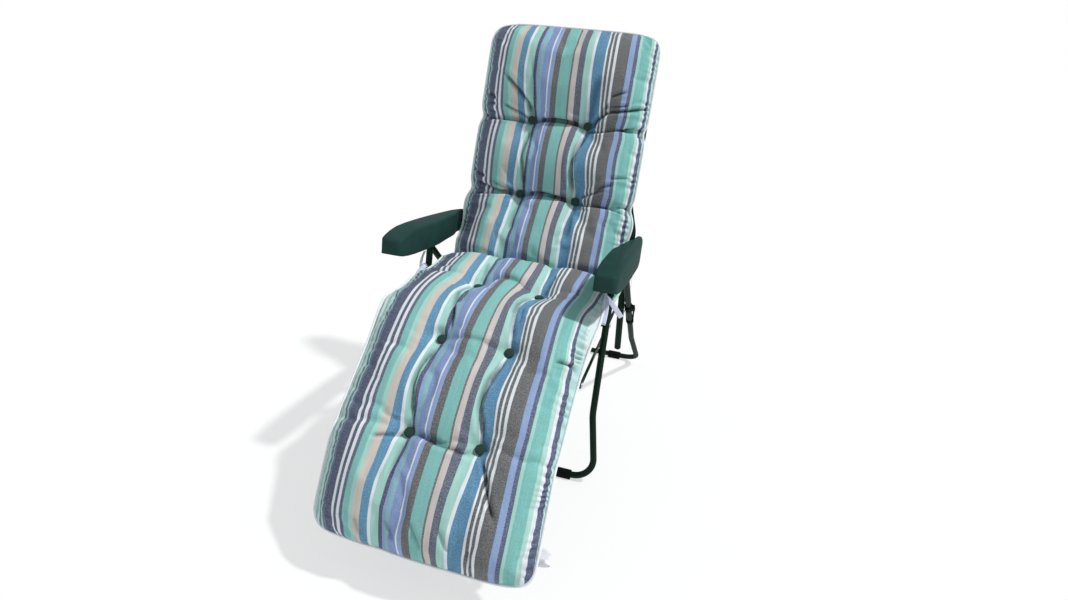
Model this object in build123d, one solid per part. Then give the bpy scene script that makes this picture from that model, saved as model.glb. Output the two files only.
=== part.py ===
from build123d import *
import math
import os

# Reclining garden armchair: tubular steel frame, slung fabric, one long tufted cushion.
# X runs across the chair, Y from the foot end to the head end, Z up from the ground.
# All lengths are in millimetres and all angles in degrees.

# Side view: the hinge line of the back, the seat and the two slopes
back_hinge_y = 209.8
seat_height = 455.0
seat_length = 468.0
back_tilt = 20.5
foot_slope = 40.0
back_length = 690.0
foot_length = 425.0

# Across the chair, from the middle outwards
rail_x = 222.0
link_x = 237.2
front_leg_x = 255.0
back_tube_x = 256.0
upper_back_x = 234.0
rack_x = 266.5
rear_leg_x = 281.0

# Tubes
frame_tube_r = 10.0
leg_tube_r = 9.0
cross_tube_r = 8.0
tube_wall = 1.2
rail_overrun = 12.0

# Pins, plates and clearances
pin_r = 4.0
pin_clearance = 0.05
pin_head_r = 7.0
pin_head_height = 2.6
head_round_share = 0.8
rivet_r = 2.5
plate_thickness = 3.0
bush_r = 7.5
bush_wall = 3.4
running_gap = 0.3
side_gap = 0.5
cut_overrun = 2.0

# Back frame
back_corner_radius = 70.0
hinge_bend_radius = 40.0
lever_length = 237.0
lever_tilt = 17.76
link_drop = 80.0
arm_pivot_distance = 130.2
jog_start = 172.0
jog_end = 242.0
jog_radius = 90.0
back_bar_distance = 104.0
cap_length = 15.0
cap_rim_height = 4.2
cap_fillet = 1.2

# Footrest frame
foot_start = 28.0
foot_bend_distance = 290.0
foot_bend_angle = 20.0
foot_bend_radius = 120.0
foot_corner_radius = 60.0
knee_plate_reach = 82.0
knee_plate_r = 12.0
link_eye_r = 9.0
rivet_setback = 10.0
rivet_spacing = 26.0

# Front leg
leg_pivot_distance = 248.0
front_leg_slope = 0.17
front_leg_x_splay = 30.0
splay_height = 200.0
splay_radius = 160.0
leg_corner_radius = 55.0
ground_clearance = 3.6
leg_top_reach = 12.0

# Rear leg
rear_leg_slope = 1.07
rear_leg_x_splay = 16.0
apex_height = 606.0
apex_forward = 218.0
rear_splay_height = 190.0

# Feet
foot_pad_wall = 3.6
foot_pad_length = 44.0
foot_pad_inset = 66.0
foot_pad_width = 17.0

# Arm rests
arm_length = 517.0
arm_rear_overhang = 34.0
arm_inner_x = 238.0
arm_outer_x = 300.0
arm_bulge_y = -250.0
arm_bulge_radius = 2300.0
arm_rear_inner_x = 268.2
arm_slope = 8.0
arm_top = 36.0
arm_arch_y = -300.0
arm_arch_radius = 3700.0
arm_wall = 3.0
arm_front_low = 8.0
arm_lip_low = 14.0
arm_lip_run = 30.0
arm_rear_low = 30.0
arm_tail_low = 8.0
arm_tail_run = 24.0
arm_flare_start = 197.0
arm_flare_end = 52.0
arm_corner_radius = 18.0
arm_tail_radius = 8.0
arm_edge_fillet = 6.0
arm_boss_start = 26.0
arm_boss_floor = 7.0
arm_ratio = 0.20

# Notched rack under each arm rest
notch_count = 7
notch_radius = 6.2
notch_rise = 2.6
rack_gap = 0.5
rack_end_margin = 14.0
recline_forward = 5.0
recline_back = 35.0

# Slung fabric
sling_thickness = 1.5
sling_gap = 0.3
sling_relief_r = 14.0
seat_sling_margin = 34.0
foot_sling_start = 96.0
foot_sling_end = 272.0
back_sling_start = 262.0
back_sling_end = 610.0

# Cushion
cushion_half_width = 248.0
seat_cushion_half_width = 242.5
cushion_height = 68.0
cushion_edge_height = 44.0
cushion_shoulder = 16.0
cushion_lift = 0.3
tuft_spacing = 83.0
tuft_mouth_r = 30.0
back_cushion_length = 726.0
foot_cushion_length = 512.0
hip_fold_height = 146.0
hip_angle = 33.0
hip_gap_angle = 3.4
knee_gap_angle = 18.5
fold_seam_angle = 0.5
upper_tuft_distance = 445.0
lower_tuft_distance = 229.0
seat_tuft_distance = 167.0
knee_tuft_distance = 36.0
foot_tuft_distance = 262.0

# Buttons, ties and tab
button_r = 12.0
button_height = 8.0
button_edge = 3.0
tie_width = 12.0
tie_thickness = 1.2
tie_tail_length = 92.0
tie_short_tail_length = 60.0
tie_knot = 9.0
tie_knot_fillet = 2.2
tie_lean_share = 0.25
tie_distance = 75.0
tab_width = 26.0
tab_length = 20.0
tab_thickness = 0.8
tab_distance = 428.0

# Clip on the rear leg
clip_height = 404.0
clip_length = 30.0
clip_wall = 3.0
clip_wing_depth = 11.0
clip_inner_wing = 11.2
clip_outer_wing = 19.0
clip_guard_length = 128.0
clip_guard_r = 2.6
clip_low_length = 18.0

# Places worked out from the sizes above
knee_y = back_hinge_y - seat_length
leg_pivot_y = back_hinge_y - leg_pivot_distance
apex_y = back_hinge_y - apex_forward
rail_top = frame_tube_r + sling_gap + sling_thickness
cushion_base = rail_top + cushion_lift


def unit(angle_from_level):
    """Side-view direction at an angle above the level line that points to the head end."""
    a = math.radians(angle_from_level)
    return Vector(0, math.cos(a), math.sin(a))


def slope_plane(y, z, angle):
    """Local frame of a tilted member: local Y runs headward along it, local Z out of its upper face."""
    return Plane(origin=(0, y, z), x_dir=(1, 0, 0), z_dir=unit(angle + 90))


seat_plane = slope_plane(back_hinge_y, seat_height, 0)
back_plane = slope_plane(back_hinge_y, seat_height, 90 - back_tilt)
foot_plane = slope_plane(knee_y, seat_height, foot_slope)
back_hinge = Vector(0, back_hinge_y, seat_height)
knee_hinge = Vector(0, knee_y, seat_height)
lever_direction = unit(lever_tilt - 90)
link_rear = back_hinge + lever_direction * link_drop
link_front = knee_hinge + lever_direction * link_drop
arm_pivot = back_hinge + unit(90 - back_tilt) * arm_pivot_distance
arm_plane = slope_plane(arm_pivot.Y, arm_pivot.Z, -arm_slope)


def at(plane, x, y, z):
    """A point given in a tilted member's local frame, as a point of the chair."""
    return plane.from_local_coords(Vector(x, y, z))


def placed(plane, solid):
    return plane.location * solid


def pair(solid):
    """A piece and its mirror image on the other side of the chair."""
    return [solid, mirror(solid, about=Plane.YZ)]


def mirrored_path(points):
    """A path from the right side's end round to the left side's end."""
    return points + [Vector(-p.X, p.Y, p.Z) for p in reversed(points)]


def rod_x(centre, radius, x_from, x_to):
    """A round bar across the chair."""
    bar = Cylinder(radius, x_to - x_from, align=(Align.CENTER, Align.CENTER, Align.MIN))
    return Plane.YZ.location * Pos(centre.Y, centre.Z, x_from) * bar


def bent_tube(points, radii, radius, hollow=True):
    path = FilletPolyline(*points, radius=radii)
    start = Plane(origin=path @ 0, z_dir=path % 0)
    outline = Circle(radius)
    if hollow:
        outline = outline - Circle(radius - tube_wall)
    return sweep(start * outline, path=path)


def straight_tube(start, end, radius, hollow=True):
    path = Line(start, end)
    outline = Circle(radius)
    if hollow:
        outline = outline - Circle(radius - tube_wall)
    return sweep(Plane(origin=start, z_dir=end - start) * outline, path=path)


def pin_hole(centre, x_from, x_to, radius=pin_r):
    return rod_x(centre, radius + pin_clearance, x_from, x_to)


def domed_head(centre, x_face, outward, radius=pin_head_r):
    """A low round head that stands on the plane x_face; outward is 1 or -1."""
    head = Cylinder(radius, pin_head_height, align=(Align.CENTER, Align.CENTER, Align.MIN))
    head = fillet(head.edges().sort_by(Axis.Z)[-1], pin_head_height * head_round_share)
    seat = Plane(origin=(x_face, centre.Y, centre.Z), x_dir=(0, 1, 0), z_dir=(outward, 0, 0))
    return seat.location * head


def headed_pin(centre, x_inner, x_outer, radius=pin_r, head_r=pin_head_r):
    """A pin between two faces, with a round head against each."""
    shank = rod_x(centre, radius, x_inner, x_outer)
    return shank + domed_head(centre, x_inner, -1, head_r) + domed_head(centre, x_outer, 1, head_r)


def merged(solids):
    whole = solids[0]
    for solid in solids[1:]:
        whole = whole + solid
    return whole


# Seat frame
rail_inner_x = rail_x - frame_tube_r
rail_outer_x = rail_x + frame_tube_r


def seat_rail():
    front = Vector(rail_x, knee_y - rail_overrun, seat_height)
    rear = Vector(rail_x, back_hinge_y + rail_overrun, seat_height)
    rail = straight_tube(front, rear, frame_tube_r)
    leg_pivot = Vector(0, leg_pivot_y, seat_height)
    for centre in (knee_hinge, leg_pivot, back_hinge):
        rail = rail - pin_hole(centre, rail_inner_x - cut_overrun, rail_outer_x + cut_overrun)
    return rail


def cross_tube(centre, reach, side_x, side_start, side_end, side_r):
    """A cross tube whose ends are coped to fit round the side tubes."""
    tube = straight_tube(
        Vector(-reach, centre.Y, centre.Z), Vector(reach, centre.Y, centre.Z), cross_tube_r
    )
    for side in (-1, 1):
        start = Vector(side * side_x, side_start.Y, side_start.Z)
        end = Vector(side * side_x, side_end.Y, side_end.Z)
        tube = tube - straight_tube(start, end, side_r, hollow=False)
    return tube


cross_tube_drop = frame_tube_r - cross_tube_r
cross_tube_inset_share = 0.05


def seat_cross_tubes():
    tubes = []
    rail_front = Vector(0, knee_y - rail_overrun, seat_height)
    rail_rear = Vector(0, back_hinge_y + rail_overrun, seat_height)
    for share in (cross_tube_inset_share, 1 - cross_tube_inset_share):
        centre = Vector(0, knee_y + seat_length * share, seat_height - cross_tube_drop)
        tubes.append(cross_tube(centre, rail_x, rail_x, rail_front, rail_rear, frame_tube_r))
    return tubes


# Pivots of the seat frame, one node for each kind
head_stand_off = running_gap


def back_hinge_pins():
    inner = rail_inner_x
    outer = back_tube_x + frame_tube_r + head_stand_off
    return pair(headed_pin(back_hinge, inner, outer))


def knee_pins():
    outer = rail_outer_x + running_gap + plate_thickness + head_stand_off
    return pair(headed_pin(knee_hinge, rail_inner_x, outer))


def leg_pivot_pins():
    outer = front_leg_x + leg_tube_r + head_stand_off
    return pair(headed_pin(Vector(0, leg_pivot_y, seat_height), rail_inner_x, outer))


def spacer_bush(centre, x_outer):
    """A bush on a pin, coped to the side rail at its inner end."""
    bush = rod_x(centre, bush_r, rail_x, x_outer)
    bush = bush - pin_hole(centre, rail_x - cut_overrun, x_outer + cut_overrun)
    rail_front = Vector(rail_x, knee_y - rail_overrun, seat_height)
    rail_rear = Vector(rail_x, back_hinge_y + rail_overrun, seat_height)
    return bush - straight_tube(rail_front, rail_rear, frame_tube_r, hollow=False)


def spacer_bushes():
    rear = spacer_bush(back_hinge, back_tube_x - frame_tube_r - running_gap)
    front = spacer_bush(
        Vector(0, leg_pivot_y, seat_height), front_leg_x - leg_tube_r - running_gap
    )
    return pair(rear) + pair(front)


# Slung fabric: a sheet on top of two side tubes, with a sleeve sewn round each
def sling(plane, side_x, y_from, y_to):
    sleeve_r = frame_tube_r + sling_gap
    outer_r = sleeve_r + sling_thickness
    sheet_height = sleeve_r + sling_thickness / 2
    sheet = Pos(0, sheet_height) * Rectangle(side_x * 2, sling_thickness)
    outline = sheet
    for side in (-1, 1):
        outline = outline + Pos(side * side_x, 0) * Circle(outer_r)
    for side in (-1, 1):
        outline = outline - Pos(side * side_x, 0) * Circle(sleeve_r)
    body = extrude(Plane.XZ.offset(-y_to) * outline, amount=y_to - y_from)
    return placed(plane, body)


def seat_sling():
    cloth = sling(seat_plane, rail_x, -seat_length + seat_sling_margin, -seat_sling_margin)
    leg_pivot = Vector(0, leg_pivot_y, seat_height)
    reach = rail_outer_x + frame_tube_r
    for side in (-1, 1):
        x_from = min(side * rail_inner_x - side * frame_tube_r, side * reach)
        x_to = max(side * rail_inner_x - side * frame_tube_r, side * reach)
        relief = rod_x(leg_pivot, sling_relief_r, x_from, x_to)
        keep_sheet = Pos(0, leg_pivot_y, seat_height + frame_tube_r + sling_gap / 2) * Box(
            reach * 2,
            sling_relief_r * 2 + frame_tube_r,
            sling_relief_r,
            align=(Align.CENTER, Align.CENTER, Align.MIN),
        )
        cloth = cloth - (relief - keep_sheet)
    return cloth


# Back frame: an upright loop whose legs run past the hinge as levers
def back_frame():
    lever_end = back_hinge + lever_direction * lever_length
    right = [
        Vector(back_tube_x, lever_end.Y, lever_end.Z),
        Vector(back_tube_x, back_hinge.Y, back_hinge.Z),
        at(back_plane, back_tube_x, jog_start, 0),
        at(back_plane, upper_back_x, jog_end, 0),
        at(back_plane, upper_back_x, back_length, 0),
    ]
    radii = [hinge_bend_radius, jog_radius, jog_radius, back_corner_radius]
    frame = bent_tube(mirrored_path(right), radii + radii[::-1], frame_tube_r)
    for side in (-1, 1):
        inner = side * (back_tube_x - frame_tube_r - cut_overrun)
        outer = side * (back_tube_x + frame_tube_r + cut_overrun)
        for centre in (back_hinge, link_rear, arm_pivot):
            frame = frame - pin_hole(centre, min(inner, outer), max(inner, outer))
    return frame


def back_cross_tube():
    centre = at(back_plane, 0, back_bar_distance, frame_tube_r - cross_tube_r)
    side_start = at(back_plane, 0, 0, 0)
    side_end = at(back_plane, 0, jog_start, 0)
    return cross_tube(centre, back_tube_x, back_tube_x, side_start, side_end, frame_tube_r)


def lever_caps():
    """Push-in plugs with a rounded rim at the levers' open ends."""
    end = back_hinge + lever_direction * lever_length
    plug = Cylinder(frame_tube_r - tube_wall, cap_length, align=(Align.CENTER, Align.CENTER, Align.MAX))
    rim = Cylinder(frame_tube_r, cap_rim_height, align=(Align.CENTER, Align.CENTER, Align.MIN))
    rim = fillet(rim.edges().sort_by(Axis.Z)[-1], cap_fillet)
    seat = Plane(origin=(back_tube_x, end.Y, end.Z), x_dir=(1, 0, 0), z_dir=lever_direction)
    return pair(seat.location * (plug + rim))


def link_pins_rear():
    inner = link_x
    outer = back_tube_x + frame_tube_r
    return pair(headed_pin(link_rear, inner - running_gap, outer))


def arm_pivot_pins():
    """Pins that leave the back tube and end inside the arm rest's boss."""
    inner = back_tube_x - frame_tube_r
    tip = arm_outer(0) - arm_boss_floor - side_gap
    pin = rod_x(arm_pivot, pin_r, inner, tip) + domed_head(arm_pivot, inner, -1)
    return pair(pin)


def back_sling():
    return sling(back_plane, upper_back_x, back_sling_start, back_sling_end)


# Footrest frame: a loop with a downward bend before its end
def foot_direction(distance):
    """Downward angle of the footrest frame at a distance from the knee, in its local frame."""
    return foot_bend_angle if distance > foot_bend_distance else 0.0


def foot_point(x, distance, height):
    """A point of the bent footrest, by its distance from the knee along the frame."""
    past = max(distance - foot_bend_distance, 0)
    turn = math.radians(foot_direction(distance))
    y = -(min(distance, foot_bend_distance) + past * math.cos(turn) + height * math.sin(turn))
    z = -past * math.sin(turn) + height * math.cos(turn)
    return at(foot_plane, x, y, z)


def footrest_frame():
    right = [
        foot_point(rail_x, foot_start, 0),
        foot_point(rail_x, foot_bend_distance, 0),
        foot_point(rail_x, foot_length, 0),
    ]
    radii = [foot_bend_radius, foot_corner_radius]
    frame = bent_tube(mirrored_path(right), radii + radii[::-1], frame_tube_r)
    for centre in rivet_points():
        for side in (-1, 1):
            inner = side * (rail_inner_x - cut_overrun)
            outer = side * (rail_outer_x + cut_overrun)
            frame = frame - pin_hole(centre, min(inner, outer), max(inner, outer), rivet_r)
    return frame


def rivet_points():
    first = knee_plate_reach - rivet_setback
    return [at(foot_plane, 0, -first, 0), at(foot_plane, 0, -(first - rivet_spacing), 0)]


def knee_plate():
    """Flat plate from the knee pin to the footrest rail, with an ear for the link."""
    stations = [
        (knee_hinge, knee_plate_r),
        (at(foot_plane, 0, -knee_plate_reach, 0), knee_plate_r / 2 + rivet_r),
        (link_front, link_eye_r),
    ]
    discs = [Pos(c.Y, c.Z) * Circle(r) for c, r in stations]
    outline = make_hull(merged(discs).edges())
    x_from = rail_outer_x + running_gap
    plate = extrude(Plane.YZ.offset(x_from) * outline, amount=plate_thickness)
    for centre in (knee_hinge, link_front):
        plate = plate - pin_hole(centre, x_from - cut_overrun, x_from + plate_thickness + cut_overrun)
    for centre in rivet_points():
        plate = plate - pin_hole(
            centre, x_from - cut_overrun, x_from + plate_thickness + cut_overrun, rivet_r
        )
    return plate


def knee_rivets():
    outer = rail_outer_x + running_gap + plate_thickness
    rivets = []
    for centre in rivet_points():
        rivets += pair(headed_pin(centre, rail_inner_x, outer, rivet_r, rivet_r * 2))
    return rivets


def link_pins_front():
    inner = rail_outer_x + running_gap
    outer = link_x + plate_thickness + running_gap
    return pair(headed_pin(link_front, inner, outer))


def foot_sling():
    return sling(foot_plane, rail_x, -foot_sling_end, -foot_sling_start)


def sync_link():
    """Flat bar that ties the back's levers to the footrest."""
    discs = [Pos(c.Y, c.Z) * Circle(link_eye_r) for c in (link_front, link_rear)]
    bar = extrude(Plane.YZ.offset(link_x) * make_hull(merged(discs).edges()), amount=plate_thickness)
    for centre in (link_front, link_rear):
        bar = bar - pin_hole(centre, link_x - cut_overrun, link_x + plate_thickness + cut_overrun)
    return bar


# Legs: two loops that cross at the apex under the arm rests
apex = Vector(0, apex_y, apex_height)


def front_leg_at(height):
    return leg_pivot_y + front_leg_slope * (height - seat_height)


def rear_leg_at(height):
    return apex_y + rear_leg_slope * (apex_height - height)


def leg_loop(side_x, splay, splay_z, y_at, slope):
    """A leg loop with its side view on one straight line and feet set wider than its top."""
    rise = leg_top_reach / math.hypot(1, slope)
    bar_z = leg_tube_r + ground_clearance
    right = [
        Vector(side_x, y_at(apex_height + rise), apex_height + rise),
        Vector(side_x, y_at(splay_z), splay_z),
        Vector(side_x + splay, y_at(bar_z), bar_z),
    ]
    radii = [splay_radius, leg_corner_radius]
    return bent_tube(mirrored_path(right), radii + radii[::-1], leg_tube_r)


def both_sides_bored(frame, centres, side_x, tube_r):
    for side in (-1, 1):
        inner = side * (side_x - tube_r - cut_overrun)
        outer = side * (side_x + tube_r + cut_overrun)
        for centre in centres:
            frame = frame - pin_hole(centre, min(inner, outer), max(inner, outer))
    return frame


def front_leg_frame():
    frame = leg_loop(
        front_leg_x, front_leg_x_splay, splay_height, front_leg_at, front_leg_slope
    )
    leg_pivot = Vector(0, leg_pivot_y, seat_height)
    return both_sides_bored(frame, (leg_pivot, apex), front_leg_x, leg_tube_r)


def rear_leg_frame():
    frame = leg_loop(
        rear_leg_x, rear_leg_x_splay, rear_splay_height, rear_leg_at, rear_leg_slope
    )
    return both_sides_bored(frame, (apex,), rear_leg_x, leg_tube_r)


def apex_pins():
    inner = front_leg_x - leg_tube_r - running_gap
    outer = rear_leg_x + leg_tube_r
    return pair(headed_pin(apex, inner, outer))


def foot_pads(side_x, splay, y_at):
    """Moulded sleeves round the floor bar, flat where they stand."""
    bar = Vector(0, y_at(leg_tube_r + ground_clearance), leg_tube_r + ground_clearance)
    x_outer = side_x + splay - foot_pad_inset
    x_inner = x_outer - foot_pad_length
    pad = rod_x(bar, leg_tube_r + foot_pad_wall, x_inner, x_outer)
    sole = Pos(x_inner, bar.Y, 0) * Box(
        foot_pad_length, foot_pad_width, bar.Z, align=(Align.MIN, Align.CENTER, Align.MIN)
    )
    pad = pad + sole
    return pair(pad - rod_x(bar, leg_tube_r, x_inner - cut_overrun, x_outer + cut_overrun))


def leg_clips():
    """Plastic guards on the rear leg: a winged collar, two slim bars and a lower collar."""
    tilt = math.degrees(math.atan(rear_leg_slope))
    centre = Vector(rear_leg_x, rear_leg_at(clip_height), clip_height)
    seat = slope_plane(centre.Y, centre.Z, tilt - 90)
    seat.origin = centre
    collar_r = leg_tube_r + clip_wall
    low_y = clip_guard_length - clip_low_length / 2
    collar = Rot(90, 0, 0) * Cylinder(collar_r, clip_length)
    low_collar = Pos(0, low_y, 0) * Rot(90, 0, 0) * Cylinder(collar_r, clip_low_length)
    wings = Pos(-clip_inner_wing, 0, 0) * Box(
        clip_inner_wing + clip_outer_wing,
        clip_length,
        clip_wing_depth,
        align=(Align.MIN, Align.CENTER, Align.CENTER),
    )
    wings = fillet(wings.edges().filter_by(Axis.Y), clip_wall)
    clip = collar + low_collar + wings
    for side, wing in ((-1, clip_inner_wing), (1, clip_outer_wing)):
        start = Vector(side * (wing - clip_wall), 0, 0)
        end = Vector(side * leg_tube_r, low_y, 0)
        clip = clip + straight_tube(start, end, clip_guard_r, hollow=False)
    bore = Rot(90, 0, 0) * Cylinder(leg_tube_r, clip_guard_length * 2 + clip_length)
    return pair(seat.location * (clip - bore))


# Arm rests: hollow mouldings, open below, that ride on the apex pins
def arm_arch(y):
    """Height of the arched top above the pivot, in the moulding's own frame."""
    return arm_top - (y - arm_arch_y) ** 2 / (2 * arm_arch_radius)


def arm_outer(y):
    """How far out the bulged outer side lies."""
    return arm_outer_x - (y - arm_bulge_y) ** 2 / (2 * arm_bulge_radius)


def arm_side_outline(inset):
    """Side view of the moulding in its own frame, or of its cavity when inset is a wall."""
    front = -(arm_length - arm_rear_overhang) + inset
    rear = -arm_boss_start if inset else arm_rear_overhang
    middle = (front + rear) / 2
    drop = arm_rear_low if inset else 0
    lip = Vector(front + arm_lip_run, -arm_lip_low - drop)
    heel = Vector(rear - arm_tail_run, -arm_rear_low - drop)
    tail = Vector(rear, -arm_tail_low - drop)
    turn = Vector((heel.X + tail.X * 2) / 3, (heel.Y * 2 + tail.Y) / 3)
    front_low = Vector(front, -arm_front_low - drop)
    arch = [Vector(y, arm_arch(y) - inset) for y in (rear, middle, front)]
    return make_face(
        [
            ThreePointArc(*arch),
            Line(arch[-1], front_low),
            Line(front_low, lip),
            Line(lip, heel),
            ThreePointArc(heel, turn, tail),
            Line(tail, arch[0]),
        ]
    )


def arm_plan_outline(inset):
    """Top view: the outer side bulges, and the inner side is narrowed at the rear."""
    front = -(arm_length - arm_rear_overhang) + inset
    rear = arm_rear_overhang
    middle = (front + rear) / 2
    bulge = [Vector(arm_outer(y) - inset, y) for y in (front, middle, rear)]
    inner = [
        Vector(arm_rear_inner_x + inset, rear),
        Vector(arm_rear_inner_x + inset, -arm_flare_end),
        Vector(arm_inner_x + inset, -arm_flare_start),
        Vector(arm_inner_x + inset, front),
    ]
    return make_face([ThreePointArc(*bulge), Polyline(bulge[-1], *inner, bulge[0])])


def arm_block(inset):
    """The moulding as a solid block, or its cavity, with the front corners rounded."""
    side = extrude(Plane.YZ * arm_side_outline(inset), amount=arm_outer_x * 2, both=True)
    plan = extrude(arm_plan_outline(inset), amount=arm_length, both=True)
    body = side & plan
    upright = body.edges().filter_by(Axis.Z).sort_by(Axis.Y)
    return fillet(upright[:2], arm_corner_radius - inset)


def arm_moulding():
    body = arm_block(0)
    rear = body.edges().filter_by(Axis.Z).sort_by(Axis.Y)[-2:].sort_by(Axis.X)
    body = fillet(rear[0], arm_edge_fillet)
    rear = body.edges().filter_by(Axis.Z).sort_by(Axis.Y)[-2:].sort_by(Axis.X)
    body = fillet(rear[-1], arm_tail_radius)
    top = body.faces().sort_by(Axis.Z)[-1]
    body = fillet(top.edges(), arm_edge_fillet)
    body = body - arm_block(arm_wall)
    bore_end = arm_outer(0) - arm_boss_floor
    body = body - rod_x(Vector(0, 0, 0), pin_r + pin_clearance, arm_rear_inner_x - cut_overrun, bore_end)
    return placed(arm_plane, body)


def apex_in_arm(recline):
    """Where the apex pin lies in the arm rest's frame when the back reclines by an angle."""
    turned_back = unit(90 - back_tilt - recline) * arm_pivot_distance
    pivot = back_hinge + turned_back
    offset = apex - pivot
    turn = math.radians(arm_slope + arm_ratio * recline)
    y = offset.Y * math.cos(turn) - offset.Z * math.sin(turn)
    z = offset.Y * math.sin(turn) + offset.Z * math.cos(turn)
    return Vector(y, z)


def arm_rack():
    """Steel comb inside the arm rest; each notch is one position of the back."""
    steps = [
        -recline_forward + (recline_back + recline_forward) * i / (notch_count - 1)
        for i in range(notch_count)
    ]
    path = [apex_in_arm(step) for step in steps]
    lift = pin_r + rack_gap
    tips = [p + Vector(0, lift) for p in path]
    first = tips[0] + (tips[0] - tips[1]).normalized() * rack_end_margin
    last = tips[-1] + (tips[-1] - tips[-2]).normalized() * rack_end_margin
    edge = Spline([last] + tips[::-1] + [first])
    roof = [Vector(first.X, arm_top), Vector(last.X, arm_top)]
    outline = make_face([edge, Polyline(first, *roof, last)])
    for tip in tips:
        outline = outline - Pos(tip.X, tip.Y - notch_rise) * Circle(notch_radius)
    plate = extrude(Plane.YZ.offset(rack_x) * outline, amount=plate_thickness)
    return placed(arm_plane, plate & arm_block(arm_wall))


# Cushion: one long pad in three padded lengths that meet in folds at the hip and the knee
class PadStation:
    """One cross-section of the pad: its plane, half width, crown height and depth at the tufts."""

    def __init__(self, plane, half_width, crown, dip):
        self.plane = plane
        self.half_width = half_width
        self.crown = crown
        self.dip = dip

    def face(self):
        edge = cushion_edge_height * min(self.crown / cushion_height, 1)
        half = self.half_width
        foot = half - cushion_shoulder / 2
        shoulder = half - cushion_shoulder
        low = cushion_base
        rim = low + edge
        top = low + self.crown
        column = top - self.dip
        column_x = tuft_spacing * min(half / cushion_half_width, 1)
        middle_x = (shoulder + column_x) / 2
        side_arc = ThreePointArc((foot, low), (half, (low + rim) / 2), (shoulder, rim))
        outer_arc = ThreePointArc((shoulder, rim), (middle_x, top), (column_x, column))
        middle_arc = ThreePointArc((column_x, column), (0, top), (-column_x, column))
        return self.plane * make_face(
            [
                Line((-foot, low), (foot, low)),
                side_arc,
                outer_arc,
                middle_arc,
                mirror(outer_arc, about=Plane.YZ),
                mirror(side_arc, about=Plane.YZ),
            ]
        )


def cross_plane(member, distance):
    """Plane across a member at a headward distance."""
    centre = at(member, 0, distance, 0)
    return Plane(origin=centre, x_dir=(1, 0, 0), z_dir=Vector(1, 0, 0).cross(member.z_dir))


end_crown_share = 0.62
near_end_crown_share = 0.90
end_width_share = 0.80
near_end_width_share = 0.955
end_run = 52.0
row_width_share = 0.985
row_crown_share = 0.86
row_dip = 17.0
free_dip = 4.0


# Shares of the pad's width and height, and the dip at the tufts, at each kind of station
station_kinds = {
    "row": (row_width_share, row_crown_share, row_dip),
    "free": (1, 1, free_dip),
    "near_end": (near_end_width_share, near_end_crown_share, free_dip),
    "end": (end_width_share, end_crown_share, free_dip / 2),
}


def station(plane, kind, half_width):
    width, crown, dip = station_kinds[kind]
    return PadStation(plane, half_width * width, cushion_height * crown, dip)


def tufted_stations(member, marks, half_width):
    """Stations of a straight padded length: (distance, kind) pairs from the foot end upwards."""
    return [station(cross_plane(member, distance), kind, half_width) for distance, kind in marks]


def pad(stations):
    return loft([station.face() for station in stations])


def tuft_dimple(member, distance):
    """Cone-shaped pockets that the buttons pull into the pad, one each side of the middle."""
    floor = cushion_base + cushion_height * row_crown_share - row_dip - button_height / 2
    mouth = tuft_mouth_r + (tuft_mouth_r - button_r) * 2
    cone = Cone(
        button_r + running_gap, mouth, cushion_height, align=(Align.CENTER, Align.CENTER, Align.MIN)
    )
    return [
        placed(member, Pos(side * tuft_spacing, distance, floor) * cone) for side in (-1, 1)
    ]


def without(body, cutters):
    for cutter in cutters:
        body = body - cutter
    return body


def fold_cutter(hinge, angle, above):
    """Everything on one side of a slanted plane through a hinge line."""
    reach = back_length
    cutter = Box(
        reach, reach * 2, reach, align=(Align.CENTER, Align.CENTER, Align.MIN if above else Align.MAX)
    )
    return Plane(origin=hinge, x_dir=(1, 0, 0), z_dir=unit(angle + 90)).location * cutter


def fold_relief(hinge):
    """Room round a hinge line for the rail ends, all across the pad."""
    return rod_x(hinge, frame_tube_r * 2, -cushion_half_width * 2, cushion_half_width * 2)


hip_low_width_share = 0.975
hip_shoulder_share = 0.86


def back_cushion():
    half = cushion_half_width
    low = half * hip_low_width_share
    folded = [
        PadStation(cross_plane(back_plane, 0), low, hip_fold_height - cushion_base, free_dip),
        PadStation(
            cross_plane(back_plane, hip_fold_height / 2),
            low,
            hip_fold_height * hip_shoulder_share,
            free_dip,
        ),
    ]
    straight = tufted_stations(
        back_plane,
        [
            (lower_tuft_distance, "row"),
            ((lower_tuft_distance + upper_tuft_distance) / 2, "free"),
            (upper_tuft_distance, "row"),
            ((upper_tuft_distance + back_cushion_length) / 2, "free"),
            (back_cushion_length - end_run, "near_end"),
            (back_cushion_length, "end"),
        ],
        half,
    )
    body = pad(folded + straight)
    dimples = tuft_dimple(back_plane, lower_tuft_distance)
    dimples += tuft_dimple(back_plane, upper_tuft_distance)
    body = without(body, dimples + [fold_relief(back_hinge)])
    return body - fold_cutter(back_hinge, 180 - hip_angle - hip_gap_angle, True)


near_knee_share = 0.25


def seat_cushion():
    half = seat_cushion_half_width
    stations = tufted_stations(
        seat_plane,
        [
            (-seat_length - end_run, "free"),
            (-seat_length + seat_tuft_distance * near_knee_share, "free"),
            (-seat_length + seat_tuft_distance, "row"),
            ((-seat_length + seat_tuft_distance) / 2, "free"),
            (end_run, "free"),
        ],
        half,
    )
    body = without(pad(stations), tuft_dimple(seat_plane, -seat_length + seat_tuft_distance))
    body = body - fold_cutter(back_hinge, 180 - hip_angle + hip_gap_angle, False)
    knee_middle = 90 + foot_slope / 2
    return body - fold_cutter(knee_hinge, knee_middle - knee_gap_angle, True)


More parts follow.
